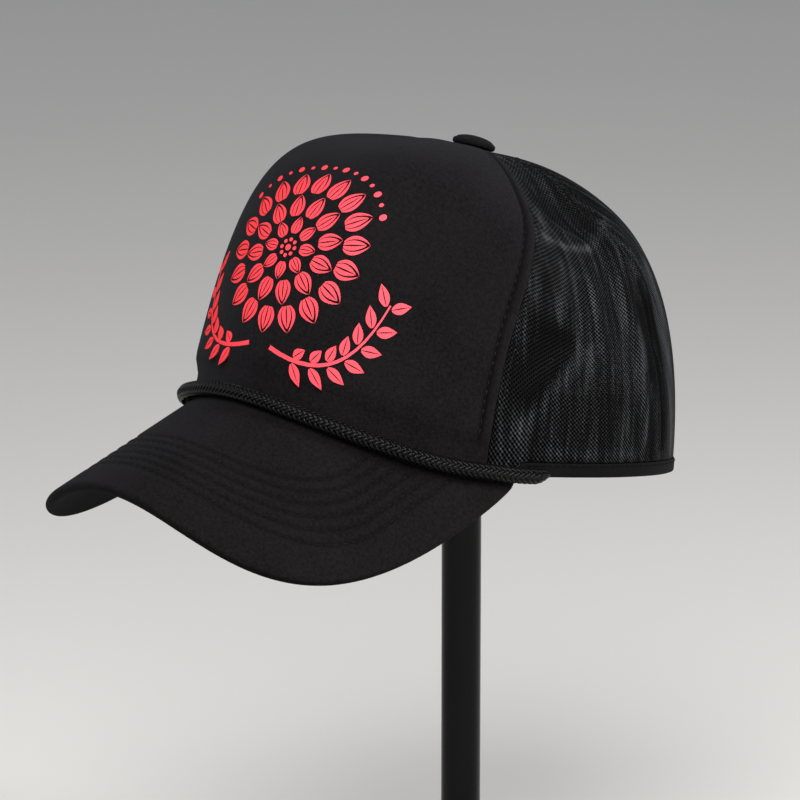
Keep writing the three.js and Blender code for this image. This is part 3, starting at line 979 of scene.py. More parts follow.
@dataclass(frozen=True)
class Stitching:
    """Rows of single stitches, each a small round-ended thread.

    Attributes:
        length: Length of a stitch in millimetres.
        pitch: Distance from one stitch to the next.
        radius: Radius of the thread.
        sink: How far the ends dip below the cloth.
    """

    length: float = 3.0
    pitch: float = 4.0
    radius: float = 0.24
    sink: float = 0.3

    def row(self, path: Array, normals: Array) -> Skin:
        """Stitches along a path.

        Args:
            path: Dense points on the cloth, as count x 3.
            normals: Outward directions there.

        Returns:
            One skin of capsules: five rings of five points, whose middle lies on the cloth.
        """
        gone = distance_gone(path)
        starts = np.arange(self.pitch / 2.0, gone[-1] - self.length, self.pitch)
        ways = np.array([0.0, 0.12, 0.5, 0.88, 1.0])
        widths = np.array([0.25, 0.85, 1.0, 0.85, 0.25]) * self.radius
        dips = np.array([1.0, 0.35, 0.0, 0.35, 1.0]) * self.sink
        at = starts[:, None] + ways[None, :] * self.length
        out = unit(at_distance(at, gone, normals))
        centre = at_distance(at, gone, path) + out * (self.radius * 0.35 - dips)[None, :, None]
        tangent = unit(np.broadcast_to(centre[:, -1:] - centre[:, :1], centre.shape))
        aside = unit(np.cross(tangent, out))
        turns = np.radians(np.arange(5) * 72.0)
        spin = aside[:, :, None] * np.cos(turns)[:, None] + out[:, :, None] * np.sin(turns)[:, None]
        return Skin.bundle(centre[:, :, None] + spin * widths[None, :, None, None])

    def on_crown(self, angle: Array, share: Array, lift: Array, facing: float = 1.0) -> Skin:
        """Stitches along a line on the crown; facing is -1 on the inner side of its wall."""
        return self.row(CROWN.point(angle, share, lift), facing * CROWN.normal(angle, share))


@dataclass
class FrontPanel:
    """Foam-backed front panel: one puffed shell, with a groove under the stitches by each seam."""

    outer: float = 2.5
    inner: float = -0.5
    thins_from: float = 0.86
    top_outer: float = 0.6
    foot_outer: float = 0.1
    foot_inner: float = -1.1
    stitch_inset: float = 4.2
    groove: float = 1.5
    columns: int = 206
    rows: int = 92
    stitching: Stitching = Stitching(length=2.6, pitch=3.5, radius=0.2)

    def lift(self, share: Array, from_seam: Array) -> Array:
        """Lift of the outer face: thin at the top and foot, round at the seam, dipped at the stitches."""
        full = mix(self.outer, self.top_outer, smooth_step(share, self.thins_from, CROWN.panel_top))
        full = mix(self.foot_outer, full, self.above_rope(share))
        edge = 2.2
        rounding = np.sqrt(np.clip(1.0 - np.clip(1.0 - from_seam / edge, 0.0, 1.0) ** 2, 0.0, 1.0))
        return mix(self.inner + 0.35, full, rounding) - self.groove * self.dip(share, from_seam)

    def dip(self, share: Array, from_seam: Array) -> Array:
        """Share of the groove's depth: a Gaussian of the distance to the stitches, fading at its ends."""
        away = (from_seam - self.stitch_inset) / 0.95
        return np.exp(-(away**2)) * self.above_rope(share) * smooth_step(share, 0.97, 0.8)

    def above_rope(self, share: Array) -> Array:
        """Share of the full thickness: none where the rope presses the foam, and all above it."""
        return smooth_step(share, 0.03, 0.056)

    def build(self, wardrobe: Wardrobe) -> None:
        """Makes the shell and its two rows of stitches."""
        even = np.linspace(-1.0, 1.0, self.columns)
        spread = np.sign(even) * (1.0 - (1.0 - np.abs(even)) ** 1.35)
        rise = np.linspace(0.0, 1.0, self.rows) ** 1.15 * CROWN.panel_top
        share = np.broadcast_to(rise, (self.columns, self.rows))
        seam = CROWN.front_seam(share)
        half = seam - CROWN.across(CROWN.gap / 2.0, seam, share)
        angles = spread[:, None] * half
        from_seam = np.radians(half - np.abs(angles)) * CROWN.radius(angles, share)
        outer = self.lift(share, from_seam)
        inner = mix(self.foot_inner, self.inner, self.above_rope(share))
        # The cloth carries painted shade along the groove under each stitch row.
        skin = wall_skin(angles, share, outer, inner, 0.8 * self.dip(share, from_seam))
        # The foot of both faces is trimmed to stand a small gap over the brim
        points = skin.points.reshape(self.columns, -1, 3)
        for foot in (0, -1):
            x, y = points[:, foot, 0], points[:, foot, 1]
            points[:, foot, 2] = CROWN.rim.brim_height(x, y) + CROWN.gap
        panel = skin.build("front_panel_foam")
        dress(panel, wardrobe.foam_cloth, "front_panel")
        dress(self.stitches().build("front_panel_stitches"), wardrobe.stitch)

    def stitches(self) -> Skin:
        """Both rows, each inset from its seam and lying in the groove."""
        share = np.linspace(0.045, 0.84, 400)
        seam = CROWN.front_seam(share)
        inset = seam - CROWN.across(self.stitch_inset, seam, share)
        lift = self.lift(share, np.full(share.shape, self.stitch_inset))
        return Skin.joined([self.stitching.on_crown(side.value * inset, share, lift) for side in Side])


@dataclass
class Emblem:
    """Printed medallion on the front panel: a many-petalled flower over two leafy sprigs.

    Flat places are millimetres across and up from the rim's middle point, laid on the foam.

    Attributes:
        centre: Flat place of the flower's middle.
        aside: How far all of it lies to the wearer's left.
        level: Share at which a flat width keeps its size.
        rings: For each ring of petals its count, its turn in degrees, the distances of the feet and
            the tips from the middle, and half a petal's width.
        arc_radius: Radius of the arc of dots above the flower.
        arc_turn: Degrees that the arc runs to each side.
        thickness: Thickness of the ink.
        surface: Lift of the foam's cloth.
    """

    centre: Pair = (0.0, 56.0)
    aside: float = 6.5
    level: float = 0.25
    rings: tuple[tuple[float, ...], ...] = (
        (8, 0.0, 5.4, 12.0, 2.3),
        (12, 15.0, 12.4, 21.4, 3.2),
        (18, 0.0, 22.0, 31.6, 3.6),
    )
    arc_radius: float = 34.8
    arc_turn: float = 62.0
    thickness: float = 0.12
    surface: float = 2.5

    def on_panel(self, flat: Array, lift: Array) -> Array:
        """Point of the foam under a flat place: arc length up the middle, and arc length across."""
        ways = np.linspace(0.0, 0.8, 200)
        middle = CROWN.point(np.zeros(200), ways, self.surface)
        share = np.interp(flat[..., 1], distance_gone(middle), ways)
        turns = np.linspace(-60.0, 60.0, 241)
        run = distance_gone(CROWN.point(turns, np.full(turns.shape, self.level), self.surface))
        shrink = CROWN.radius(np.zeros_like(share), share) / CROWN.radius(0.0, self.level)
        angle = np.interp(flat[..., 0] / shrink, run - run[len(turns) // 2], turns)
        return CROWN.point(angle, share, lift)

    def patches(self, edges: Array) -> Skin:
        """Thin closed pieces of ink.

        Args:
            edges: Flat places as patches x stations x rails x 2, from one rail across to the other.

        Returns:
            A skin whose rings run over the top from the first rail to the last and back below.
        """
        lifts = self.surface + self.thickness, self.surface - 0.2
        top, under = (self.on_panel(edges, np.full(edges.shape[:3], lift)) for lift in lifts)
        return Skin.bundle(np.concatenate([top, under[:, :, ::-1]], axis=2), ladder=True)

    def petals(self, count: int, turn: float, near: float, far: float, width: float) -> Array:
        """Rails of a ring of petals, each drawn as four strips beside a bare vein.

        Args:
            count: Petals in the ring.
            turn: Degrees that the first one is turned.
            near: Distance of their feet from the centre.
            far: Distance of their tips.
            width: Half width of a petal.

        Returns:
            Flat places as patches x 14 x 3 x 2. The half width is a sine of the way out, and the
            strips fill 8 to 52 and 64 to 100 percent of it.
        """
        way = np.linspace(0.0, 1.0, 14)
        swell = np.sin(np.pi * (0.07 + 0.93 * way) ** 0.82) ** 0.75
        strips = np.array([[0.08, 0.30, 0.52], [0.64, 0.82, 1.0]])
        signed = np.concatenate([strips, -strips])
        out = mix(near, far, way)
        pulled = np.where(np.abs(signed[:, None, 1:2]) > 0.6, 1.0, 0.86)
        along = np.broadcast_to(mix(near, out[None, :, None], pulled), (4, 14, 3))
        aside = signed[:, None, :] * width * swell[None, :, None]
        spin = np.radians(turn + np.arange(count) * 360.0 / count)[:, None, None, None]
        x = self.centre[0] + along * np.sin(spin) + aside * np.cos(spin)
        y = self.centre[1] + along * np.cos(spin) - aside * np.sin(spin)
        return stacked(x, y).reshape(-1, 14, 3, 2)

    def sprig(self, side: Side) -> Array:
        """Rails of one leafy branch, which curves from under the flower out and up.

        Args:
            side: The wearer's side that it grows to.

        Returns:
            Flat places of its stem's pieces and its split leaves, as patches x 14 x 3 x 2.
        """
        knots = np.linspace(0.16, 0.97, 7)
        way = np.linspace(0.0, 1.0, 14)

        def stem(t: Array) -> Array:
            """Stem's line: a quadratic Bezier curve."""
            start, handle, end = np.array([5.0, 20.0]), np.array([36.0, 10.0]), np.array([45.0, 44.0])
            t = t[..., None]
            return start * (1 - t) ** 2 + 2 * handle * t * (1 - t) + end * t**2

        def heading(t: Array) -> Array:
            """Direction of the stem in radians from straight up."""
            step = stem(t + 0.01) - stem(t - 0.01)
            return np.arctan2(step[..., 0], step[..., 1])

        pieces = []
        for lean, shortest, growth in ((-48.0, 4.5, 3.5), (48.0, 8.5, -1.5)):
            length = shortest + growth * knots
            foot = stem(knots)
            spin = heading(knots) + np.radians(lean)
            for low, high in ((0.10, 1.0), (-1.0, -0.10)):
                rails = np.linspace(low, high, 3)
                swell = np.sin(np.pi * (0.04 + 0.96 * way) ** 0.8)
                along = (1.6 + way[None, :] * length[:, None])[:, :, None]
                aside = rails[None, None, :] * 1.9 * swell[None, :, None]
                turn = spin[:, None, None]
                x = foot[:, 0][:, None, None] + along * np.sin(turn) + aside * np.cos(turn)
                y = foot[:, 1][:, None, None] + along * np.cos(turn) - aside * np.sin(turn)
                pieces.append(stacked(x, y))
        line = stem(way)
        turn = heading(way)
        rails = np.linspace(-0.75, 0.75, 3)[None, :] * (1.1 - 0.7 * way)[:, None]
        ribbon = line[:, None] + rails[..., None] * stacked(np.cos(turn), -np.sin(turn))[:, None]
        return np.concatenate([*pieces, ribbon[None]]) * np.array([side.value, 1.0])

    def seeds(self) -> Array:
        """Rails of the dots in the flower's middle and in an arc above it."""
        inner = np.radians(np.arange(8) * 45.0)
        above = np.radians(np.linspace(-self.arc_turn, self.arc_turn, 15))
        x = np.concatenate([[0.0], 3.0 * np.sin(inner), self.arc_radius * np.sin(above)])
        y = np.concatenate([[0.0], 3.0 * np.cos(inner), self.arc_radius * np.cos(above)])
        radius = np.concatenate([[1.2], np.full(8, 0.75), np.tile([1.3, 0.8], 8)[:15]])
        way = np.linspace(-1.0, 1.0, 14)
        half = np.sqrt(np.clip(1.0 - way**2, 0.01, 1.0))
        rails = np.array([-1.0, 0.0, 1.0])
        dx = rails[None, None, :] * half[None, :, None] * radius[:, None, None]
        dy = np.broadcast_to(way[None, :, None] * radius[:, None, None], dx.shape)
        return stacked(self.centre[0] + x[:, None, None] + dx, self.centre[1] + y[:, None, None] + dy)

    def build(self, wardrobe: Wardrobe) -> None:
        """Makes the whole print as one piece."""
        flower = [self.petals(*ring) for ring in self.rings]
        edges = np.concatenate([*flower, *(self.sprig(side) for side in Side), self.seeds()])
        edges = edges + np.array([self.aside, 0.0])
        dress(self.patches(edges).build("front_print"), wardrobe.ink)


@dataclass
class NetPanel:
    """One panel of knitted net: a lattice of threads round diamond holes, cut at its seams.

    Attributes:
        name: Name of the panel and of the solid that it stands for.
        side: The wearer's side.
        front: Angle of its front seam at a share, on the left.
        back: Angle of its back seam at a share, on the left.
    """

    name: str
    side: Side
    front: Callable[[Array], Array]
    back: Callable[[Array], Array]
    pitch: float = NET_PITCH
    half_width: float = 55.0
    length: float = 165.0
    thread: float = 0.93
    crest: float = 0.05
    edge: float = -0.34
    under: float = -0.62

    def angle_share(self, x: Array, y: Array) -> tuple[Array, Array, Array]:
        """Place on the crown of a point of the flat net.

        Args:
            x: Millimetres across from the panel's middle line.
            y: Millimetres up that line.

        Returns:
            Angle and share, clamped to the cut edges, and how far outside the cut the point lay.
        """
        ways = np.linspace(0.0, CROWN.panel_top, 300)
        middle = (self.front(ways) + self.back(ways)) / 2.0
        climbed = distance_gone(CROWN.smooth(middle, ways))
        share = np.interp(y, climbed, ways)
        over = np.maximum(y - climbed[-1], 0.0)
        centre = (self.front(share) + self.back(share)) / 2.0
        radius = CROWN.radius(centre, share)
        angle = centre + np.degrees(x / np.maximum(radius, 2.0))
        turns = np.linspace(55.0, 181.0, 505)
        bottom = np.interp(angle, turns, CROWN.net_bottom(turns))
        below = np.maximum(bottom - share, 0.0) * CLOTH_HEIGHT
        share = np.maximum(share, bottom)
        margin = CROWN.across(CROWN.gap / 2.0, centre, share)
        low, high = self.front(share) + margin, self.back(share) - margin
        outside = np.maximum(low - angle, angle - high)
        outside = np.radians(np.maximum(outside, 0.0)) * radius
        return np.clip(angle, low, high), share, np.maximum(np.maximum(outside, below), over)

    def on_wall(self, place: Array, lift: float) -> Array:
        """Rows of points at angles and shares, which are given for the left and mirrored for the right."""
        return CROWN.point(place[..., 0] * self.side.value, place[..., 1], lift).reshape(-1, 3)

    def shaded(self, flat: Array, place: Array) -> Array:
        """Rows of places on the flat net, with the sum of the painted highlights and shade of the strokes
        there as the third number.
        """
        painted_light = np.zeros(place.shape[:-1])
        for *line, strength, half in NET_PAINTED_LIGHT:
            painted_light = painted_light + strength * stroke(place[..., 0], place[..., 1], tuple(line), half)[0]
        return stacked(flat[..., 0], flat[..., 1], painted_light).reshape(-1, 3)

    def thread_faces(self, around: Array, crossings: int) -> Array:
        """Quads of the threads round the holes, and of the cut edges.

        Args:
            around: Numbers of the four crossings round each hole, as holes x 4.
            crossings: Count of the crossings.

        Returns:
            Corner numbers, where the crossings' tops come first, then their undersides, and then
            the holes' corners. A cut edge is a thread that only one hole has.
        """
        corner = 2 * crossings + np.arange(around.size).reshape(-1, 4)
        after, corner_after = np.roll(around, -1, axis=1), np.roll(corner, -1, axis=1)
        upper = np.stack([around, after, corner_after, corner], axis=-1)
        lower = np.stack([after + crossings, around + crossings, corner, corner_after], axis=-1)
        pairs = np.stack([around, after], axis=-1).reshape(-1, 2)
        key = np.minimum(*pairs.T) * crossings + np.maximum(*pairs.T)
        _, where, times = np.unique(key, return_index=True, return_counts=True)
        start, end = pairs[where[times == 1]].T
        cut = np.stack([end, start, start + crossings, end + crossings], axis=-1)
        return np.concatenate([upper.reshape(-1, 4), lower.reshape(-1, 4), cut])

    def lattice(self) -> Skin:
        """Threads between the crossings of a diagonal grid.

        Crossings are the grid places whose column and row add up to an even number, and holes are
        the odd ones. Each thread has a crest along its middle line, two sharp sides at the holes'
        corners, which are the crossings pulled towards the hole, and a crest below.

        Returns:
            The lattice with its cut edges closed.
        """
        step = self.pitch / np.sqrt(2.0)
        columns = int(2 * (self.half_width // step) + 1)
        rows = int(self.length // step)
        j, i = np.meshgrid(np.arange(rows), np.arange(columns) - columns // 2, indexing="ij")
        angle, share, outside = self.angle_share(i * step, j * step)
        kept = ((i + j) % 2 != 0) & (outside < 0.45 * step)
        kept[[0, -1]] = kept[:, [0, -1]] = False
        hole = np.flatnonzero(kept)
        nodes = hole[:, None] + np.array([1, columns, -1, -columns])
        used, around = np.unique(nodes, return_inverse=True)
        flat = stacked(i, j).reshape(-1, 2) * step
        place = stacked(angle, share).reshape(-1, 2)
        pulled = 1.0 - self.thread
        corner = mix(place[hole][:, None], place[nodes], pulled)
        corner_flat = mix(flat[hole][:, None], flat[nodes], pulled)
        points = [self.on_wall(place[used], lift) for lift in (self.crest, self.under)]
        points.append(self.on_wall(corner, self.edge))
        knots = self.shaded(flat[used], place[used])
        weave = np.concatenate([knots, knots, self.shaded(corner_flat, corner)])
        faces = self.thread_faces(around.reshape(nodes.shape), len(used))
        return Skin(np.concatenate(points), [faces], weave)

    def build(self, wardrobe: Wardrobe) -> None:
        """Makes the panel."""
        piece = self.lattice().build(f"{self.name}_net", sharp=180.0)
        dress(piece, wardrobe.net, self.name)


@dataclass(frozen=True)
class WallStrip:
    """A band of even section that lies on the crown wall along a line of angles and shares.

    Attributes:
        outer: Lift of its outer face.
        inner: Lift of its inner face.
        corner: Radius of its long edges.
        places: Number of points round its section.
    """

    outer: float
    inner: float
    corner: float
    places: int = 26

    def section(self, half: float) -> Array:
        """Round-cornered section of the strip, across and in lift, round the middle."""
        return soft_rectangle(half, (self.outer - self.inner) / 2.0, self.corner, self.places)

    def skin(self, angles: Array, shares: Array, lifts: Array, travelled: Array, aside: Array) -> Skin:
        """Loft of sections whose places on the crown are given as stations x places."""
        flat = stacked(np.broadcast_to(travelled[:, None], angles.shape), aside, np.zeros_like(angles))
        return Skin.loft(CROWN.point(angles, shares, lifts), flat, ladder=False)

    def level_band(self, span: Pair, heights: Pair, stations: int) -> Skin:
        """Band round the crown between two heights above the rim.

        Args:
            span: First and last angle.
            heights: Lowest and highest height above the rim.
            stations: Number of sections.

        Returns:
            The closed band, rounded at both ends.
        """
        half = (heights[1] - heights[0]) / 2.0
        section = self.section(half)
        length = np.radians(abs(span[1] - span[0])) * CROWN.rim.half_width
        even = np.linspace(0.0, 1.0, stations)
        angle = mix(span[0], span[1], even - 0.012 * np.sin(2.0 * np.pi * even))
        scale = rounded_ends(stations, length, 0.6)
        height = sum(heights) / 2.0 + section[None, :, 0] * mix(0.985, 1.0, scale)[:, None]
        lift = (self.outer + self.inner) / 2.0 + section[None, :, 1] * scale[:, None]
        angles = np.broadcast_to(angle[:, None], height.shape)
        travelled = np.radians(angle) * CLOTH_RADIUS
        return self.skin(angles, CROWN.share_at(angles, height), lift, travelled, height)

    def upright_band(self, seam: Callable[[Array], Array], bottom: float, top: float, width: float) -> Skin:
        """Tape up the crown over a seam.

        Args:
            seam: Angle of the seam at a share.
            bottom: Lowest share.
            top: Highest share.
            width: Full width in millimetres.

        Returns:
            The closed tape.
        """
        section = self.section(width / 2.0)
        stations = 70
        share = np.linspace(bottom, top, stations)
        scale = rounded_ends(stations, (top - bottom) * CLOTH_HEIGHT, 0.5)
        shares = np.broadcast_to(share[:, None], (stations, self.places))
        middle = seam(share)
        aside = np.broadcast_to(section[None, :, 0], shares.shape)
        angles = middle[:, None] + np.degrees(aside / CROWN.radius(middle, share)[:, None])
        lift = (self.outer + self.inner) / 2.0 + section[None, :, 1] * scale[:, None]
        return self.skin(angles, shares, lift, share * CLOTH_HEIGHT, aside)


@dataclass
class SeamTapes:
    """Tapes sewn over the five seams inside the crown."""

    outer: float = -1.7
    inner: float = -2.3
    width: float = 12.0
    top: float = 0.84
    front_foot: float = 31.2
    back_foot: float = 30.3

    def tape(self, name: str, seam: Callable[[Array], Array], height: float, wardrobe: Wardrobe) -> None:
        """Makes one tape from a height above the rim.

        Args:
            name: Name of the solid that it stands for.
            seam: Angle of its seam at a share.
            height: Height of its foot.
            wardrobe: The finishes.
        """
        strip = WallStrip(self.outer, self.inner, corner=0.2)
        bottom = float(CROWN.share_at(seam(np.array(0.2)), height))
        skin = strip.upright_band(seam, bottom, self.top, self.width)
        dress(skin.build(f"{name}_ribbed"), wardrobe.tape, name)

    def build(self, wardrobe: Wardrobe) -> None:
        """Makes all five."""
        for side in Side:
            front = partial(CROWN.front_seam, sign=side.value)
            back = partial(level_seam, side.value * CROWN.back_seam)
            self.tape(f"front_tape_{side.word}", front, self.front_foot, wardrobe)
            self.tape(f"back_tape_{side.word}", back, self.back_foot, wardrobe)
        foot = CROWN.arch_height + CROWN.arch_binding + CROWN.gap
        self.tape("centre_tape", partial(level_seam, 180.0), foot, wardrobe)


@dataclass
class SeamStitches:
    """Pairs of stitch rows on the net beside the back seams and the seam down the middle."""

    inset: float = 2.6
    front_inset: float = 2.0
    lift: float = 0.12
    stitching: Stitching = Stitching(length=2.2, pitch=3.0, radius=0.2, sink=0.25)

    def build(self, wardrobe: Wardrobe) -> None:
        """Makes the rows as one piece."""
        rows = []
        for angle in (CROWN.back_seam, -CROWN.back_seam, 180.0):
            low = float(CROWN.net_bottom(np.array(angle))) + 0.012
            share = np.linspace(low, 0.9, 400)
            for offset in (-self.inset, self.inset):
                beside = angle + CROWN.across(offset, angle, share)
                rows.append(self.stitching.on_crown(beside, share, self.lift))
        share = np.linspace(0.06, 0.9, 400)
        for side in Side:
            seam = CROWN.front_seam(share)
            beside = side.value * (seam + CROWN.across(self.front_inset, seam, share))
            rows.append(self.stitching.on_crown(beside, share, self.lift))
        dress(Skin.joined(rows).build("net_seam_stitches"), wardrobe.stitch)


@dataclass
class RimTrim:
    """Bindings along the rim and round the arch."""

    outer: float = 0.6
    inner: float = -1.0
    stitch_inset: float = 1.0
    arch_inset: float = 0.9
    stitch_lift: float = 0.62
    stitching: Stitching = Stitching(length=2.2, pitch=3.0, radius=0.2, sink=0.25)

    def rim(self, side: Side, wardrobe: Wardrobe) -> Skin:
        """Makes the binding of one side of the rim.

        Returns:
            The row of stitches along it.
        """
        start = CROWN.rim.brim_side + float(CROWN.across(CROWN.gap, CROWN.rim.brim_side, 0.0))
        end = float(CROWN.angle_at_offset(CROWN.arch_half_width + CROWN.arch_binding + CROWN.gap))
        span = (start, end) if side is Side.LEFT else (-end, -start)
        name = f"rim_binding_{side.word}"
        strip = WallStrip(self.outer, self.inner, corner=0.6)
        skin = strip.level_band(span, (0.0, CROWN.binding_height), 110)
        dress(skin.build(f"{name}_tape"), wardrobe.binding, name)
        angle = np.linspace(span[0] + 0.6, span[1] - 0.6, 300)
        share = CROWN.share_at(angle, CROWN.binding_height - self.stitch_inset)
        return self.stitching.on_crown(angle, share, self.stitch_lift)

    def arch(self, wardrobe: Wardrobe) -> Skin:
        """Makes the arch's binding along a half ellipse.

        Returns:
            The row of stitches along it.
        """
        strip = WallStrip(self.outer, self.inner, corner=0.6)
        section = strip.section(CROWN.arch_binding / 2.0)
        turn = np.radians(np.linspace(0.0, 180.0, 110))[:, None]

        def on_wall(grow: Array) -> tuple[Array, Array]:
            """Angles and shares that the half ellipse passes when it is grown."""
            offset = (CROWN.arch_half_width + grow) * np.cos(turn)
            height = (CROWN.arch_height + grow) * np.sin(turn)
            angle = np.where(offset < 0.0, -1.0, 1.0) * CROWN.angle_at_offset(np.abs(offset))
            return angle, CROWN.share_at(angle, height)

        grow = CROWN.arch_binding / 2.0 + section[None, :, 0] + 0.0 * turn
        lift = (self.outer + self.inner) / 2.0 + section[None, :, 1] + 0.0 * turn
        skin = strip.skin(*on_wall(grow), lift, np.degrees(turn[:, 0]) * 0.7, grow)
        dress(skin.build("arch_binding_tape"), wardrobe.binding, "arch_binding")
        angle, share = on_wall(np.full(turn.shape, CROWN.arch_binding - self.arch_inset))
        return self.stitching.on_crown(angle[2:-2, 0], share[2:-2, 0], self.stitch_lift)

    def build(self, wardrobe: Wardrobe) -> None:
        """Makes the three bindings and their stitches."""
        rows = [self.rim(Side.LEFT, wardrobe), self.rim(Side.RIGHT, wardrobe), self.arch(wardrobe)]
        dress(Skin.joined(rows).build("binding_stitches"), wardrobe.braid_core)


@dataclass
class InnerBand:
    """Twill sweatband inside the rim and the moulded strap across the arch."""

    band: WallStrip = WallStrip(-1.5, -2.7, corner=0.55, places=40)
    strap: WallStrip = WallStrip(-1.5, -2.9, corner=0.65, places=40)
    height: float = 30.0
    strap_bottom: float = 2.0
    strap_top: float = 20.0
    strap_overlap: float = 9.0
    stitch_lift: float = -2.72
    stitching: Stitching = Stitching(length=2.6, pitch=3.6, radius=0.22, sink=0.25)

    def build(self, wardrobe: Wardrobe) -> None:
        """Makes the band, its stitch row and the strap."""
        end = float(CROWN.angle_at_offset(CROWN.arch_half_width)) - self.strap_overlap
        stop = end - float(CROWN.across(CROWN.gap, end, 0.0))
        skin = self.band.level_band((-stop, stop), (0.0, self.height), 240)
        dress(skin.build("sweatband_twill"), wardrobe.twill, "sweatband")
        angle = np.linspace(-stop + 1.0, stop - 1.0, 500)
        rows = []
        for height in (3.0, self.height - 2.5):
            share = CROWN.share_at(angle, height)
            rows.append(self.stitching.on_crown(angle, share, self.stitch_lift, facing=-1.0))
        dress(Skin.joined(rows).build("sweatband_stitches"), wardrobe.stitch)
        skin = self.strap.level_band((end, 360.0 - end), (self.strap_bottom, self.strap_top), 110)
        dress(skin.build("snap_strap_moulded"), wardrobe.moulded, "snap_strap")


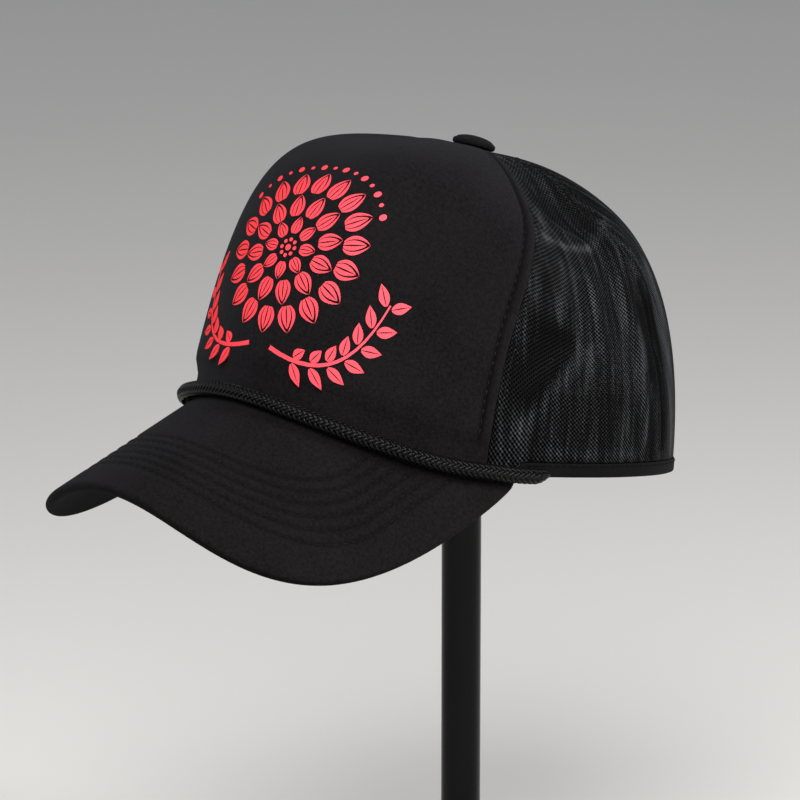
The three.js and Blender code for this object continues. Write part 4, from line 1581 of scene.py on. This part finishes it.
@dataclass
class Brim:
    """Rolled brim in cloth over a stiff board, with six rows of stitches in soft grooves.

    In plan a row is half a superellipse round rows_middle, with straight lines back to the rim.
    """

    thickness: float = 4.0
    tip: float = -160.4
    corner_reach: float = 82.2
    corner_turn: float = 4.2
    front_handle: float = 67.4
    used_width: float = 0.97
    narrows_from: float = 0.93
    columns: int = 276
    depth_rows: int = 112
    groove: float = 0.5
    # Painted shade on the brim's underside and lower edge.
    under_shadow: float = 0.85
    stitch_rows: int = 6
    rows_apart: float = 3.5
    outer_row: Pair = (68.0, 57.5)
    rows_middle: float = -90.0
    squareness: float = 2.1
    stitching: Stitching = Stitching(length=2.5, pitch=3.5, radius=0.27, sink=0.35)

    def edge(self, across: Array) -> Array:
        """Outer edge in plan: a cubic Bezier curve from the tip to the rim, mirrored."""
        end = CROWN.rim.plan(np.array(CROWN.rim.brim_end))
        turn = np.radians(self.corner_turn)
        corner = end + self.corner_reach * np.array([np.sin(turn), -np.cos(turn)])
        t = np.abs(across)[..., None]
        tip, handle = np.array([0.0, self.tip]), np.array([self.front_handle, self.tip])
        curve = tip * (1 - t) ** 3 + 3 * handle * t * (1 - t) ** 2 + 3 * corner * t**2 * (1 - t) + end * t**3
        return curve * stacked(np.sign(across), np.ones_like(across))

    def surface(self, across: Array, out: Array) -> Array:
        """Top of the board: straight lines in plan from the rim to the edge, on the rolled surface."""
        across, out = np.broadcast_arrays(np.asarray(across, float), np.asarray(out, float))
        plan = mix(CROWN.rim.plan(across * CROWN.rim.brim_end), self.edge(across), out[..., None])
        return stacked(plan[..., 0], plan[..., 1], CROWN.rim.brim_height(plan[..., 0], plan[..., 1]))

    def normal(self, across: Array, out: Array) -> Array:
        """Upward direction of the surface, from small steps across it and out."""
        wide = self.surface(across + 0.005, out) - self.surface(across - 0.005, out)
        deep = self.surface(across, out - 0.005) - self.surface(across, out + 0.005)
        return unit(np.cross(wide, deep))

    def row_size(self, row: int) -> Pair:
        """Half width and reach of a stitch row in plan."""
        inset = self.rows_apart * (self.stitch_rows - 1 - row)
        return self.outer_row[0] - inset, self.outer_row[1] - inset

    def row_path(self, row: int) -> tuple[Array, Array]:
        """Line of a stitch row on the brim's top, and the upward direction along it."""
        width, reach = self.row_size(row)
        turn = np.radians(np.linspace(0.0, 90.0, 240))
        x = width * np.sin(turn) ** (2.0 / self.squareness)
        y = self.rows_middle - reach * np.cos(turn) ** (2.0 / self.squareness)
        rim = -CROWN.rim.front_reach * np.sqrt(1.0 - (width / CROWN.rim.half_width) ** 2)
        x = np.concatenate([x, np.full(60, width)])
        y = np.concatenate([y, np.linspace(self.rows_middle, rim - 2.0, 61)[1:]])
        x, y = np.concatenate([-x[:0:-1], x]), np.concatenate([y[:0:-1], y])
        slope = np.tan(np.radians(CROWN.rim.brim_pitch))
        up = unit(stacked(x / CROWN.rim.roll_radius, np.full(x.shape, -slope), np.ones(x.shape)))
        return stacked(x, y, CROWN.rim.brim_height(x, y)), up

    def grooved(self, place: Array) -> Array:
        """Depth of the grooves: a Gaussian of the distance to each row along the slope."""
        x, y = np.abs(place[..., 0]), np.clip(self.rows_middle - place[..., 1], 0.0, None)
        steep = np.sqrt(1.0 + (x / CROWN.rim.roll_radius) ** 2)
        depth = np.zeros(x.shape)
        for row in range(self.stitch_rows):
            width, reach = self.row_size(row)
            way = ((x / width) ** self.squareness + (y / reach) ** self.squareness) ** (1.0 / self.squareness)
            away = (way - 1.0) * (width + reach) / 2.0 * steep
            depth = depth + self.groove * np.exp(-((away / 0.95) ** 2))
        return depth

    def round_edge(self, across: Array, used: Array, outward: Array, half: Array) -> Array:
        """Half circle round the outer edge, from the top to the underside.

        Args:
            across: Places across the brim, as columns x 1.
            used: Way out at which the half circle starts, of the same shape.
            outward: Directions from the rim to the edge, as columns x 1 x 3.
            half: Half thicknesses, as columns x 1.

        Returns:
            Points with their painted shade, as columns x 11 x 4.
        """
        turns = np.radians(np.linspace(90.0, -90.0, 13)[1:-1])
        used = np.broadcast_to(used, (self.columns, len(turns)))
        normal = self.normal(across, used)
        middle = self.surface(across, used) - normal * self.thickness / 2.0
        round_out, round_up = (half * np.cos(turns))[..., None], (half * np.sin(turns))[..., None]
        edge = middle + outward * round_out + normal * round_up
        # Painted shade that grows from the top of the edge round to the underside.
        return with_shadow(edge, self.under_shadow * smooth_step(turns, 1.2, 0.1))

    def board(self) -> Skin:
        """Closed brim: rings run from the rim over the top, round the edge and back below.

        Returns:
            The skin. The half thickness shrinks to the brim's two ends as a quarter circle.
        """
        even = np.linspace(-1.0, 1.0, self.columns)
        across = (even * 1.08 - 0.08 * even**3) * self.used_width
        across = across[:, None]
        closing = np.clip((np.abs(across) - self.narrows_from) / 0.042, 0.0, 1.0)
        half = self.thickness / 2.0 * np.sqrt(np.clip(1.0 - closing**2, 0.08, 1.0))
        outward = self.surface(across, 1.0) - self.surface(across, 0.0)
        length = np.linalg.norm(outward, axis=-1)
        used = 1.0 - (self.thickness / 2.0) / length
        out = np.linspace(0.0, 1.0, self.depth_rows)[None, :] * used
        normal = self.normal(across, out)
        middle = self.surface(across, out) - normal * self.thickness / 2.0
        sunk = self.grooved(self.surface(across, out)) * smooth_step(out, 0.03, 0.12)
        # Painted shade: the grooves are darkened by their depth, and the whole underside by under_shadow.
        top = with_shadow(middle + normal * (half - sunk)[..., None], 0.4 * sunk / self.groove)
        below = with_shadow(middle - normal * (half - sunk)[..., None], self.under_shadow)
        edge = self.round_edge(across, used, outward / length[..., None], half)
        split = edge.shape[1] // 2 + 1
        outer_half = np.concatenate([edge[:, :split][:, ::-1], top[:, ::-1]], axis=1)
        inner_half = np.concatenate([below, edge[:, split:][:, ::-1]], axis=1)
        between = mix(inner_half[:, -1:], outer_half[:, :1], 0.5)
        rings = np.concatenate([outer_half, inner_half, between], axis=1)
        flat = stacked(rings[..., 0], rings[..., 1] * 1.12, rings[..., 3])
        return Skin.loft(rings[..., :3], flat)

    def stitches(self) -> Skin:
        """Rows of stitches on the top and the underside."""
        rows = []
        for row in range(self.stitch_rows):
            path, up = self.row_path(row)
            rows.append(self.stitching.row(path - up * self.groove, up))
            rows.append(self.stitching.row(path - up * (self.thickness - self.groove), -up))
        return Skin.joined(rows)

    def build(self, wardrobe: Wardrobe) -> None:
        """Makes the brim and its stitches."""
        dress(self.board().build("brim_cloth_cover"), wardrobe.brim_cloth, "brim")
        dress(self.stitches().build("brim_stitches"), wardrobe.stitch)


@dataclass
class Rope:
    """Braided rope round the foot of the front panel: crossing strands over a dark core.

    Attributes:
        radius: Outer radius of the rope in millimetres.
        carriers: Strands in each direction, an even number.
        lay: Length of one turn of a strand.
        strand_half_width: Half the width of a strand.
        strand_half_depth: Half its thickness.
        wave: How far a strand rises and dips where it crosses the others.
    """

    radius: float = 2.9
    carriers: int = 8
    lay: float = 16.5
    strand_half_width: float = 0.78
    strand_half_depth: float = 0.34
    wave: float = 0.30
    front_rise: float = 1.5
    side_rise: float = 2.7
    fall_angle: float = 60.0
    end_angle: float = 76.0
    drop: float = 2.6
    over_foam: float = 3.3
    over_binding: float = 4.0
    tuck_angle: float = 71.5
    tuck_depth: float = 1.4
    tuck_rise: float = 1.3
    taper: float = 9.0

    def route(self) -> Array:
        """Centre line of the rope, as even steps of about a fifth of a millimetre."""
        angle = np.linspace(-self.end_angle, self.end_angle, 700)
        away = np.abs(angle)
        rise = mix(self.front_rise, self.side_rise, smooth_step(away, 14.0, 45.0))
        leaving = smooth_step(away, CROWN.seam_at_rim, CROWN.rim.brim_end)
        tucking = smooth_step(away, self.tuck_angle, self.end_angle)
        falling = smooth_step(away, self.fall_angle, self.end_angle)
        lift = mix(self.over_foam, self.over_binding, leaving) - self.tuck_depth * tucking
        points = CROWN.point(angle, CROWN.share_at(angle, rise), lift)
        points[:, 2] += self.tuck_rise * tucking - self.drop * falling
        gone = distance_gone(points)
        return at_distance(np.linspace(0.0, gone[-1], int(gone[-1] / 0.2)), gone, points)

    def narrowing(self, gone: Array, total: float) -> Array:
        """Scale of the rope's section, which closes as a quarter circle over its last millimetres."""
        near = np.minimum(gone, total - gone)
        closing = np.clip(1.0 - near / self.taper, 0.0, 1.0)
        return np.sqrt(np.clip(1.0 - closing**2, 0.02, 1.0))

    def tubes(self, centres: Array, aside: Array, out: Array, half: tuple[Array, Array], sides: int) -> Skin:
        """Round-sectioned tubes along several lines at once.

        Args:
            centres: Lines as tubes x stations x 3.
            aside: Direction of the width, of the same shape.
            out: Direction of the thickness, of the same shape.
            half: Half width and half thickness as arrays of stations.
            sides: Points round the section.

        Returns:
            One skin of closed tubes.
        """
        turns = np.linspace(0.0, 2.0 * np.pi, sides, endpoint=False)
        wide = aside[:, :, None] * np.cos(turns)[:, None] * half[0][None, :, None, None]
        deep = out[:, :, None] * np.sin(turns)[:, None] * half[1][None, :, None, None]
        return Skin.bundle(centres[:, :, None] + wide + deep)

    def strands(self, line: Array, up: Array) -> Skin:
        """Both sets of strands.

        A strand turns once for each lay. It runs over two crossing strands and under the next two,
        so its distance from the middle is a cosine of four crossings, and the other set has the
        opposite one. Strands are flat across the rope's surface.

        Args:
            line: Centre line of the rope.
            up: Upward direction along it.

        Returns:
            One skin of flat tubes.
        """
        gone = distance_gone(line)
        total = gone[-1]
        stations = int(total / self.lay * 2 * self.carriers * 3)
        at = np.linspace(0.0, total, stations)
        centre = at_distance(at, gone, line)
        aside, rise = frames_along(centre, at_distance(at, gone, up))
        turn = at / self.lay
        passed = 2 * self.carriers * turn
        number = np.arange(self.carriers)[:, None]
        scale = self.narrowing(at, total)
        middle = self.radius - self.strand_half_depth - self.wave
        bodies = []
        for way in (1.0, -1.0):
            spin = 2.0 * np.pi * (way * turn[None, :] + number / self.carriers)
            crossing = 2 * number + way * passed[None, :]
            over = way * np.clip(1.3 * np.cos(np.pi / 2.0 * (crossing - 0.5)), -1.0, 1.0)
            reach = (middle + self.wave * over) * scale[None, :]
            out = aside[None] * np.cos(spin)[..., None] + rise[None] * np.sin(spin)[..., None]
            centres = centre[None] + out * reach[..., None]
            run = unit(np.gradient(centres, axis=1))
            width = unit(np.cross(run, out))
            half = (self.strand_half_width * scale, self.strand_half_depth * scale)
            bodies.append(self.tubes(centres, width, out, half, 5))
        return Skin.joined(bodies)

    def build(self, wardrobe: Wardrobe) -> None:
        """Makes the braid, which stands for the solid, and its core."""
        line = self.route()
        up = np.tile(np.array([0.0, 0.0, 1.0]), (len(line), 1))
        aside, up = frames_along(line, up)
        dress(self.strands(line, up).build("rope_braid", sharp=180.0), wardrobe.braid, "rope")
        picked = slice(None, None, 6)
        centre, aside, up = line[picked], aside[picked], up[picked]
        gone = distance_gone(centre)
        half = (self.radius - 2 * self.strand_half_depth) * self.narrowing(gone, gone[-1])
        core = self.tubes(centre[None], aside[None], up[None], (half, half), 14)
        dress(core.build("rope_core", sharp=180.0), wardrobe.braid_core)


def turned(profile: Array, segments: int) -> Skin:
    """Lathe of a profile round the Z axis.

    Args:
        profile: Radius and height as count x 2, from the axis below to the axis above. The first and
            last points lie on the axis.
        segments: Steps round the axis.

    Returns:
        A skin whose two poles are closed by triangles.
    """
    turns = np.linspace(0.0, 2.0 * np.pi, segments, endpoint=False)
    body = profile[1:-1]
    rings = stacked(
        body[:, :1] * np.cos(turns),
        body[:, :1] * np.sin(turns),
        np.broadcast_to(body[:, 1:], (len(body), segments)),
    )
    ends = np.array([[0.0, 0.0, profile[0, 1]], [0.0, 0.0, profile[-1, 1]]])
    points = np.concatenate([rings.reshape(-1, 3), ends])
    k = np.arange(segments)
    after = (k + 1) % segments
    low = np.stack([np.full(segments, len(points) - 2), k, after], axis=-1)
    base = (len(body) - 1) * segments
    high = np.stack([np.full(segments, len(points) - 1), base + after, base + k], axis=-1)
    weave = stacked(points[:, 0], points[:, 1] + points[:, 2], np.zeros(len(points)))
    return Skin(points, [ring_faces(len(body), segments), np.concatenate([low, high])], weave)


def arc(centre: Pair, radii: Pair, start: float, end: float, count: int) -> Array:
    """Points on an ellipse's arc between two angles in degrees."""
    turns = np.radians(np.linspace(start, end, count))
    return stacked(centre[0] + radii[0] * np.cos(turns), centre[1] + radii[1] * np.sin(turns))


@dataclass
class TopButton:
    """Cloth-covered button on the crown's top, which leans back."""

    radius: float = 8.1
    height: float = 4.2
    lean: float = 11.0
    lift: float = 0.9

    def build(self, wardrobe: Wardrobe) -> None:
        """Makes the button: a drawn-in foot, a round side and a low dome with a soft crease."""
        profile = np.concatenate(
            [
                [[0.0, 0.0], [self.radius - 1.2, 0.0]],
                arc((self.radius - 1.0, 1.1), (1.0, 1.1), -80.0, 0.0, 7),
                arc((self.radius - 1.2, 1.4), (1.2, 1.0), 0.0, 60.0, 7)[1:],
                arc((0.0, 2.0), (self.radius - 0.8, self.height - 2.0), 12.0, 90.0, 16)[:-1],
                [[0.0, self.height]],
            ]
        )
        skin = turned(profile, 72)
        leaned = Pose(lean=self.lean, shift=(0.0, CROWN.top_y, CROWN.height + self.lift)).place(skin.points)
        piece = Skin(leaned, skin.faces, skin.weave).build("top_button_cover", sharp=60.0)
        dress(piece, wardrobe.button_cloth, "top_button")


@dataclass
class Stand:
    """Base plate, pole and domed cap that carry the hat."""

    pole_radius: float = 7.5
    base_radius: float = 80.0
    base_thickness: float = 5.0
    cap_radius: float = 26.0
    cap_height: float = 9.0
    cap_edge: float = 1.5
    cap_top: float = 303.8
    gap: float = 0.3

    def base(self) -> Array:
        """Profile of the plate, with a rounded upper edge."""
        edge = arc((self.base_radius - 1.0, self.base_thickness - 1.0), (1.0, 1.0), 0.0, 90.0, 7)
        foot = arc((self.base_radius - 0.4, 0.4), (0.4, 0.4), -90.0, 0.0, 5)
        return np.concatenate([[[0.0, 0.0]], foot, edge, [[0.0, self.base_thickness]]])

    def pole(self) -> Array:
        """Profile of the pole, with a small collar where it enters the plate."""
        low = self.base_thickness + self.gap
        high = self.cap_top - self.cap_height - self.gap
        radius = self.pole_radius
        foot = arc((radius - 0.4, low + 0.4), (0.4, 0.4), -90.0, 0.0, 5)
        head = arc((radius - 0.4, high - 0.4), (0.4, 0.4), 0.0, 90.0, 5)
        side = stacked(np.full(12, radius), np.linspace(low + 4.0, high - 4.0, 12))
        return np.concatenate([[[0.0, low]], foot, side, head, [[0.0, high]]])

    def cap(self) -> Array:
        """Profile of the cap: a flat underside, a short side and a quarter-ellipse dome."""
        low = self.cap_top - self.cap_height
        foot = arc((self.cap_radius - 0.5, low + 0.5), (0.5, 0.5), -90.0, 0.0, 5)
        radii = (self.cap_radius, self.cap_height - self.cap_edge)
        dome = arc((0.0, low + self.cap_edge), radii, 0.0, 90.0, 30)
        return np.concatenate([[[0.0, low]], foot, dome[:-1], [[0.0, self.cap_top]]])

    def build(self, wardrobe: Wardrobe) -> None:
        """Makes the three turned pieces."""
        parts = (("base", self.base(), 160), ("pole", self.pole(), 80), ("top", self.cap(), 112))
        for name, profile, segments in parts:
            piece = turned(profile, segments).build(f"stand_{name}_lacquered", STANDING, sharp=50.0)
            dress(piece, wardrobe.lacquer, f"stand_{name}")


@dataclass
class Studio:
    """Pale floor, soft light and the camera at the photograph's angle. Sizes are in metres."""

    azimuth: float = 47.297
    elevation: float = 12.616
    distance: float = 1.5
    lens: float = 180.1
    aside: float = -0.0232
    target_height: float = 0.21785

    def floor(self, wardrobe: Wardrobe) -> None:
        """Makes a round floor, wide enough that its edge lies outside the picture."""
        segments = 96
        radii = np.array([0.5, 2.0, 6.0, 14.0])[:, None]
        turns = np.linspace(0.0, 2.0 * np.pi, segments, endpoint=False)
        rings = stacked(radii * np.cos(turns), radii * np.sin(turns), 0.0 * turns)
        points = np.concatenate([rings.reshape(-1, 3), [[0.0, 0.0, 0.0]]]) / MILLIMETRE
        k = np.arange(segments)
        fan = np.stack([np.full(segments, len(points) - 1), k, (k + 1) % segments], axis=-1)
        quads = ring_faces(len(radii), segments)
        piece = Skin(points, [quads, fan], points).build("floor", STANDING)
        piece.data.materials.append(wardrobe.floor)

    def soft_box(self, name: str, place: tuple[float, ...], size: float, power: float) -> None:
        """Adds a square soft light that looks at the hat.

        Args:
            name: Name of the light.
            place: Where it hangs, as degrees round the hat, degrees up and metres away.
            size: Length of its side.
            power: Strength in watts.
        """
        light = bpy.data.lights.new(name, "AREA")
        light.size, light.energy = size, power
        lamp = bpy.data.objects.new(name, light)
        around, up, away = np.radians(place[0]), np.radians(place[1]), place[2]
        back = Vector((np.sin(around) * np.cos(up), -np.cos(around) * np.cos(up), np.sin(up)))
        lamp.location = Vector((0.0, 0.0, 0.24)) + back * away
        lamp.rotation_euler = (-back).to_track_quat("-Z", "Y").to_euler()
        bpy.context.scene.collection.objects.link(lamp)

    def light(self) -> None:
        """Adds the soft lights and a pale surrounding."""
        world = bpy.data.worlds.new("pale_room")
        bpy.context.scene.world = world
        world.use_nodes = True
        background = world.node_tree.nodes["Background"]
        background.inputs["Color"].default_value = (0.92, 0.95, 1.0, 1.0)
        background.inputs["Strength"].default_value = 0.38
        self.soft_box("key_above", (40.0, 43.0, 1.6), 0.9, 27.0)
        self.soft_box("side_right_of_camera", (118.0, 34.0, 1.5), 0.5, 14.0)
        self.soft_box("low_left", (-40.0, 24.0, 1.8), 0.8, 4.0)

    def camera(self) -> None:
        """Adds the camera: it looks from the azimuth and elevation at a point beside the pole."""
        turn, rise = np.radians(self.azimuth), np.radians(self.elevation)
        right = Vector((np.cos(turn), np.sin(turn), 0.0))
        back = Vector((np.sin(turn) * np.cos(rise), -np.cos(turn) * np.cos(rise), np.sin(rise)))
        data = bpy.data.cameras.new("photo_camera")
        data.lens, data.sensor_width = self.lens, 36.0
        data.clip_start, data.clip_end = 0.05, 60.0
        camera = bpy.data.objects.new("photo_camera", data)
        camera.location = right * self.aside + Vector((0.0, 0.0, self.target_height)) + back * self.distance
        camera.rotation_mode = "QUATERNION"
        camera.rotation_quaternion = (-back).to_track_quat("-Z", "Y")
        bpy.context.scene.collection.objects.link(camera)
        bpy.context.scene.camera = camera

    def build(self, wardrobe: Wardrobe) -> None:
        """Makes floor, light and camera."""
        self.camera()
        self.light()
        self.floor(wardrobe)
        bpy.context.scene.view_settings.view_transform = "Standard"


def net_panels() -> list[NetPanel]:
    """The four net panels: one on each side and one on each half of the back."""
    panels = []
    back_seam, centre_seam = partial(level_seam, CROWN.back_seam), partial(level_seam, 180.0)
    for side in Side:
        panels.append(NetPanel(f"side_mesh_{side.word}", side, CROWN.front_seam, back_seam))
        panels.append(NetPanel(f"back_mesh_{side.word}", side, back_seam, centre_seam))
    return panels


def main() -> None:
    """Builds the studio and every piece in order."""
    logging.basicConfig(level=logging.INFO, format="%(message)s")
    wardrobe = Wardrobe()
    Studio().build(wardrobe)
    pieces = [
        FrontPanel(),
        Emblem(),
        *net_panels(),
        SeamTapes(),
        SeamStitches(),
        RimTrim(),
        InnerBand(),
        Brim(),
        Rope(),
        TopButton(),
        Stand(),
    ]
    for piece in pieces:
        LOG.info("building %s", type(piece).__name__)
        piece.build(wardrobe)


if __name__ == "__main__":
    main()
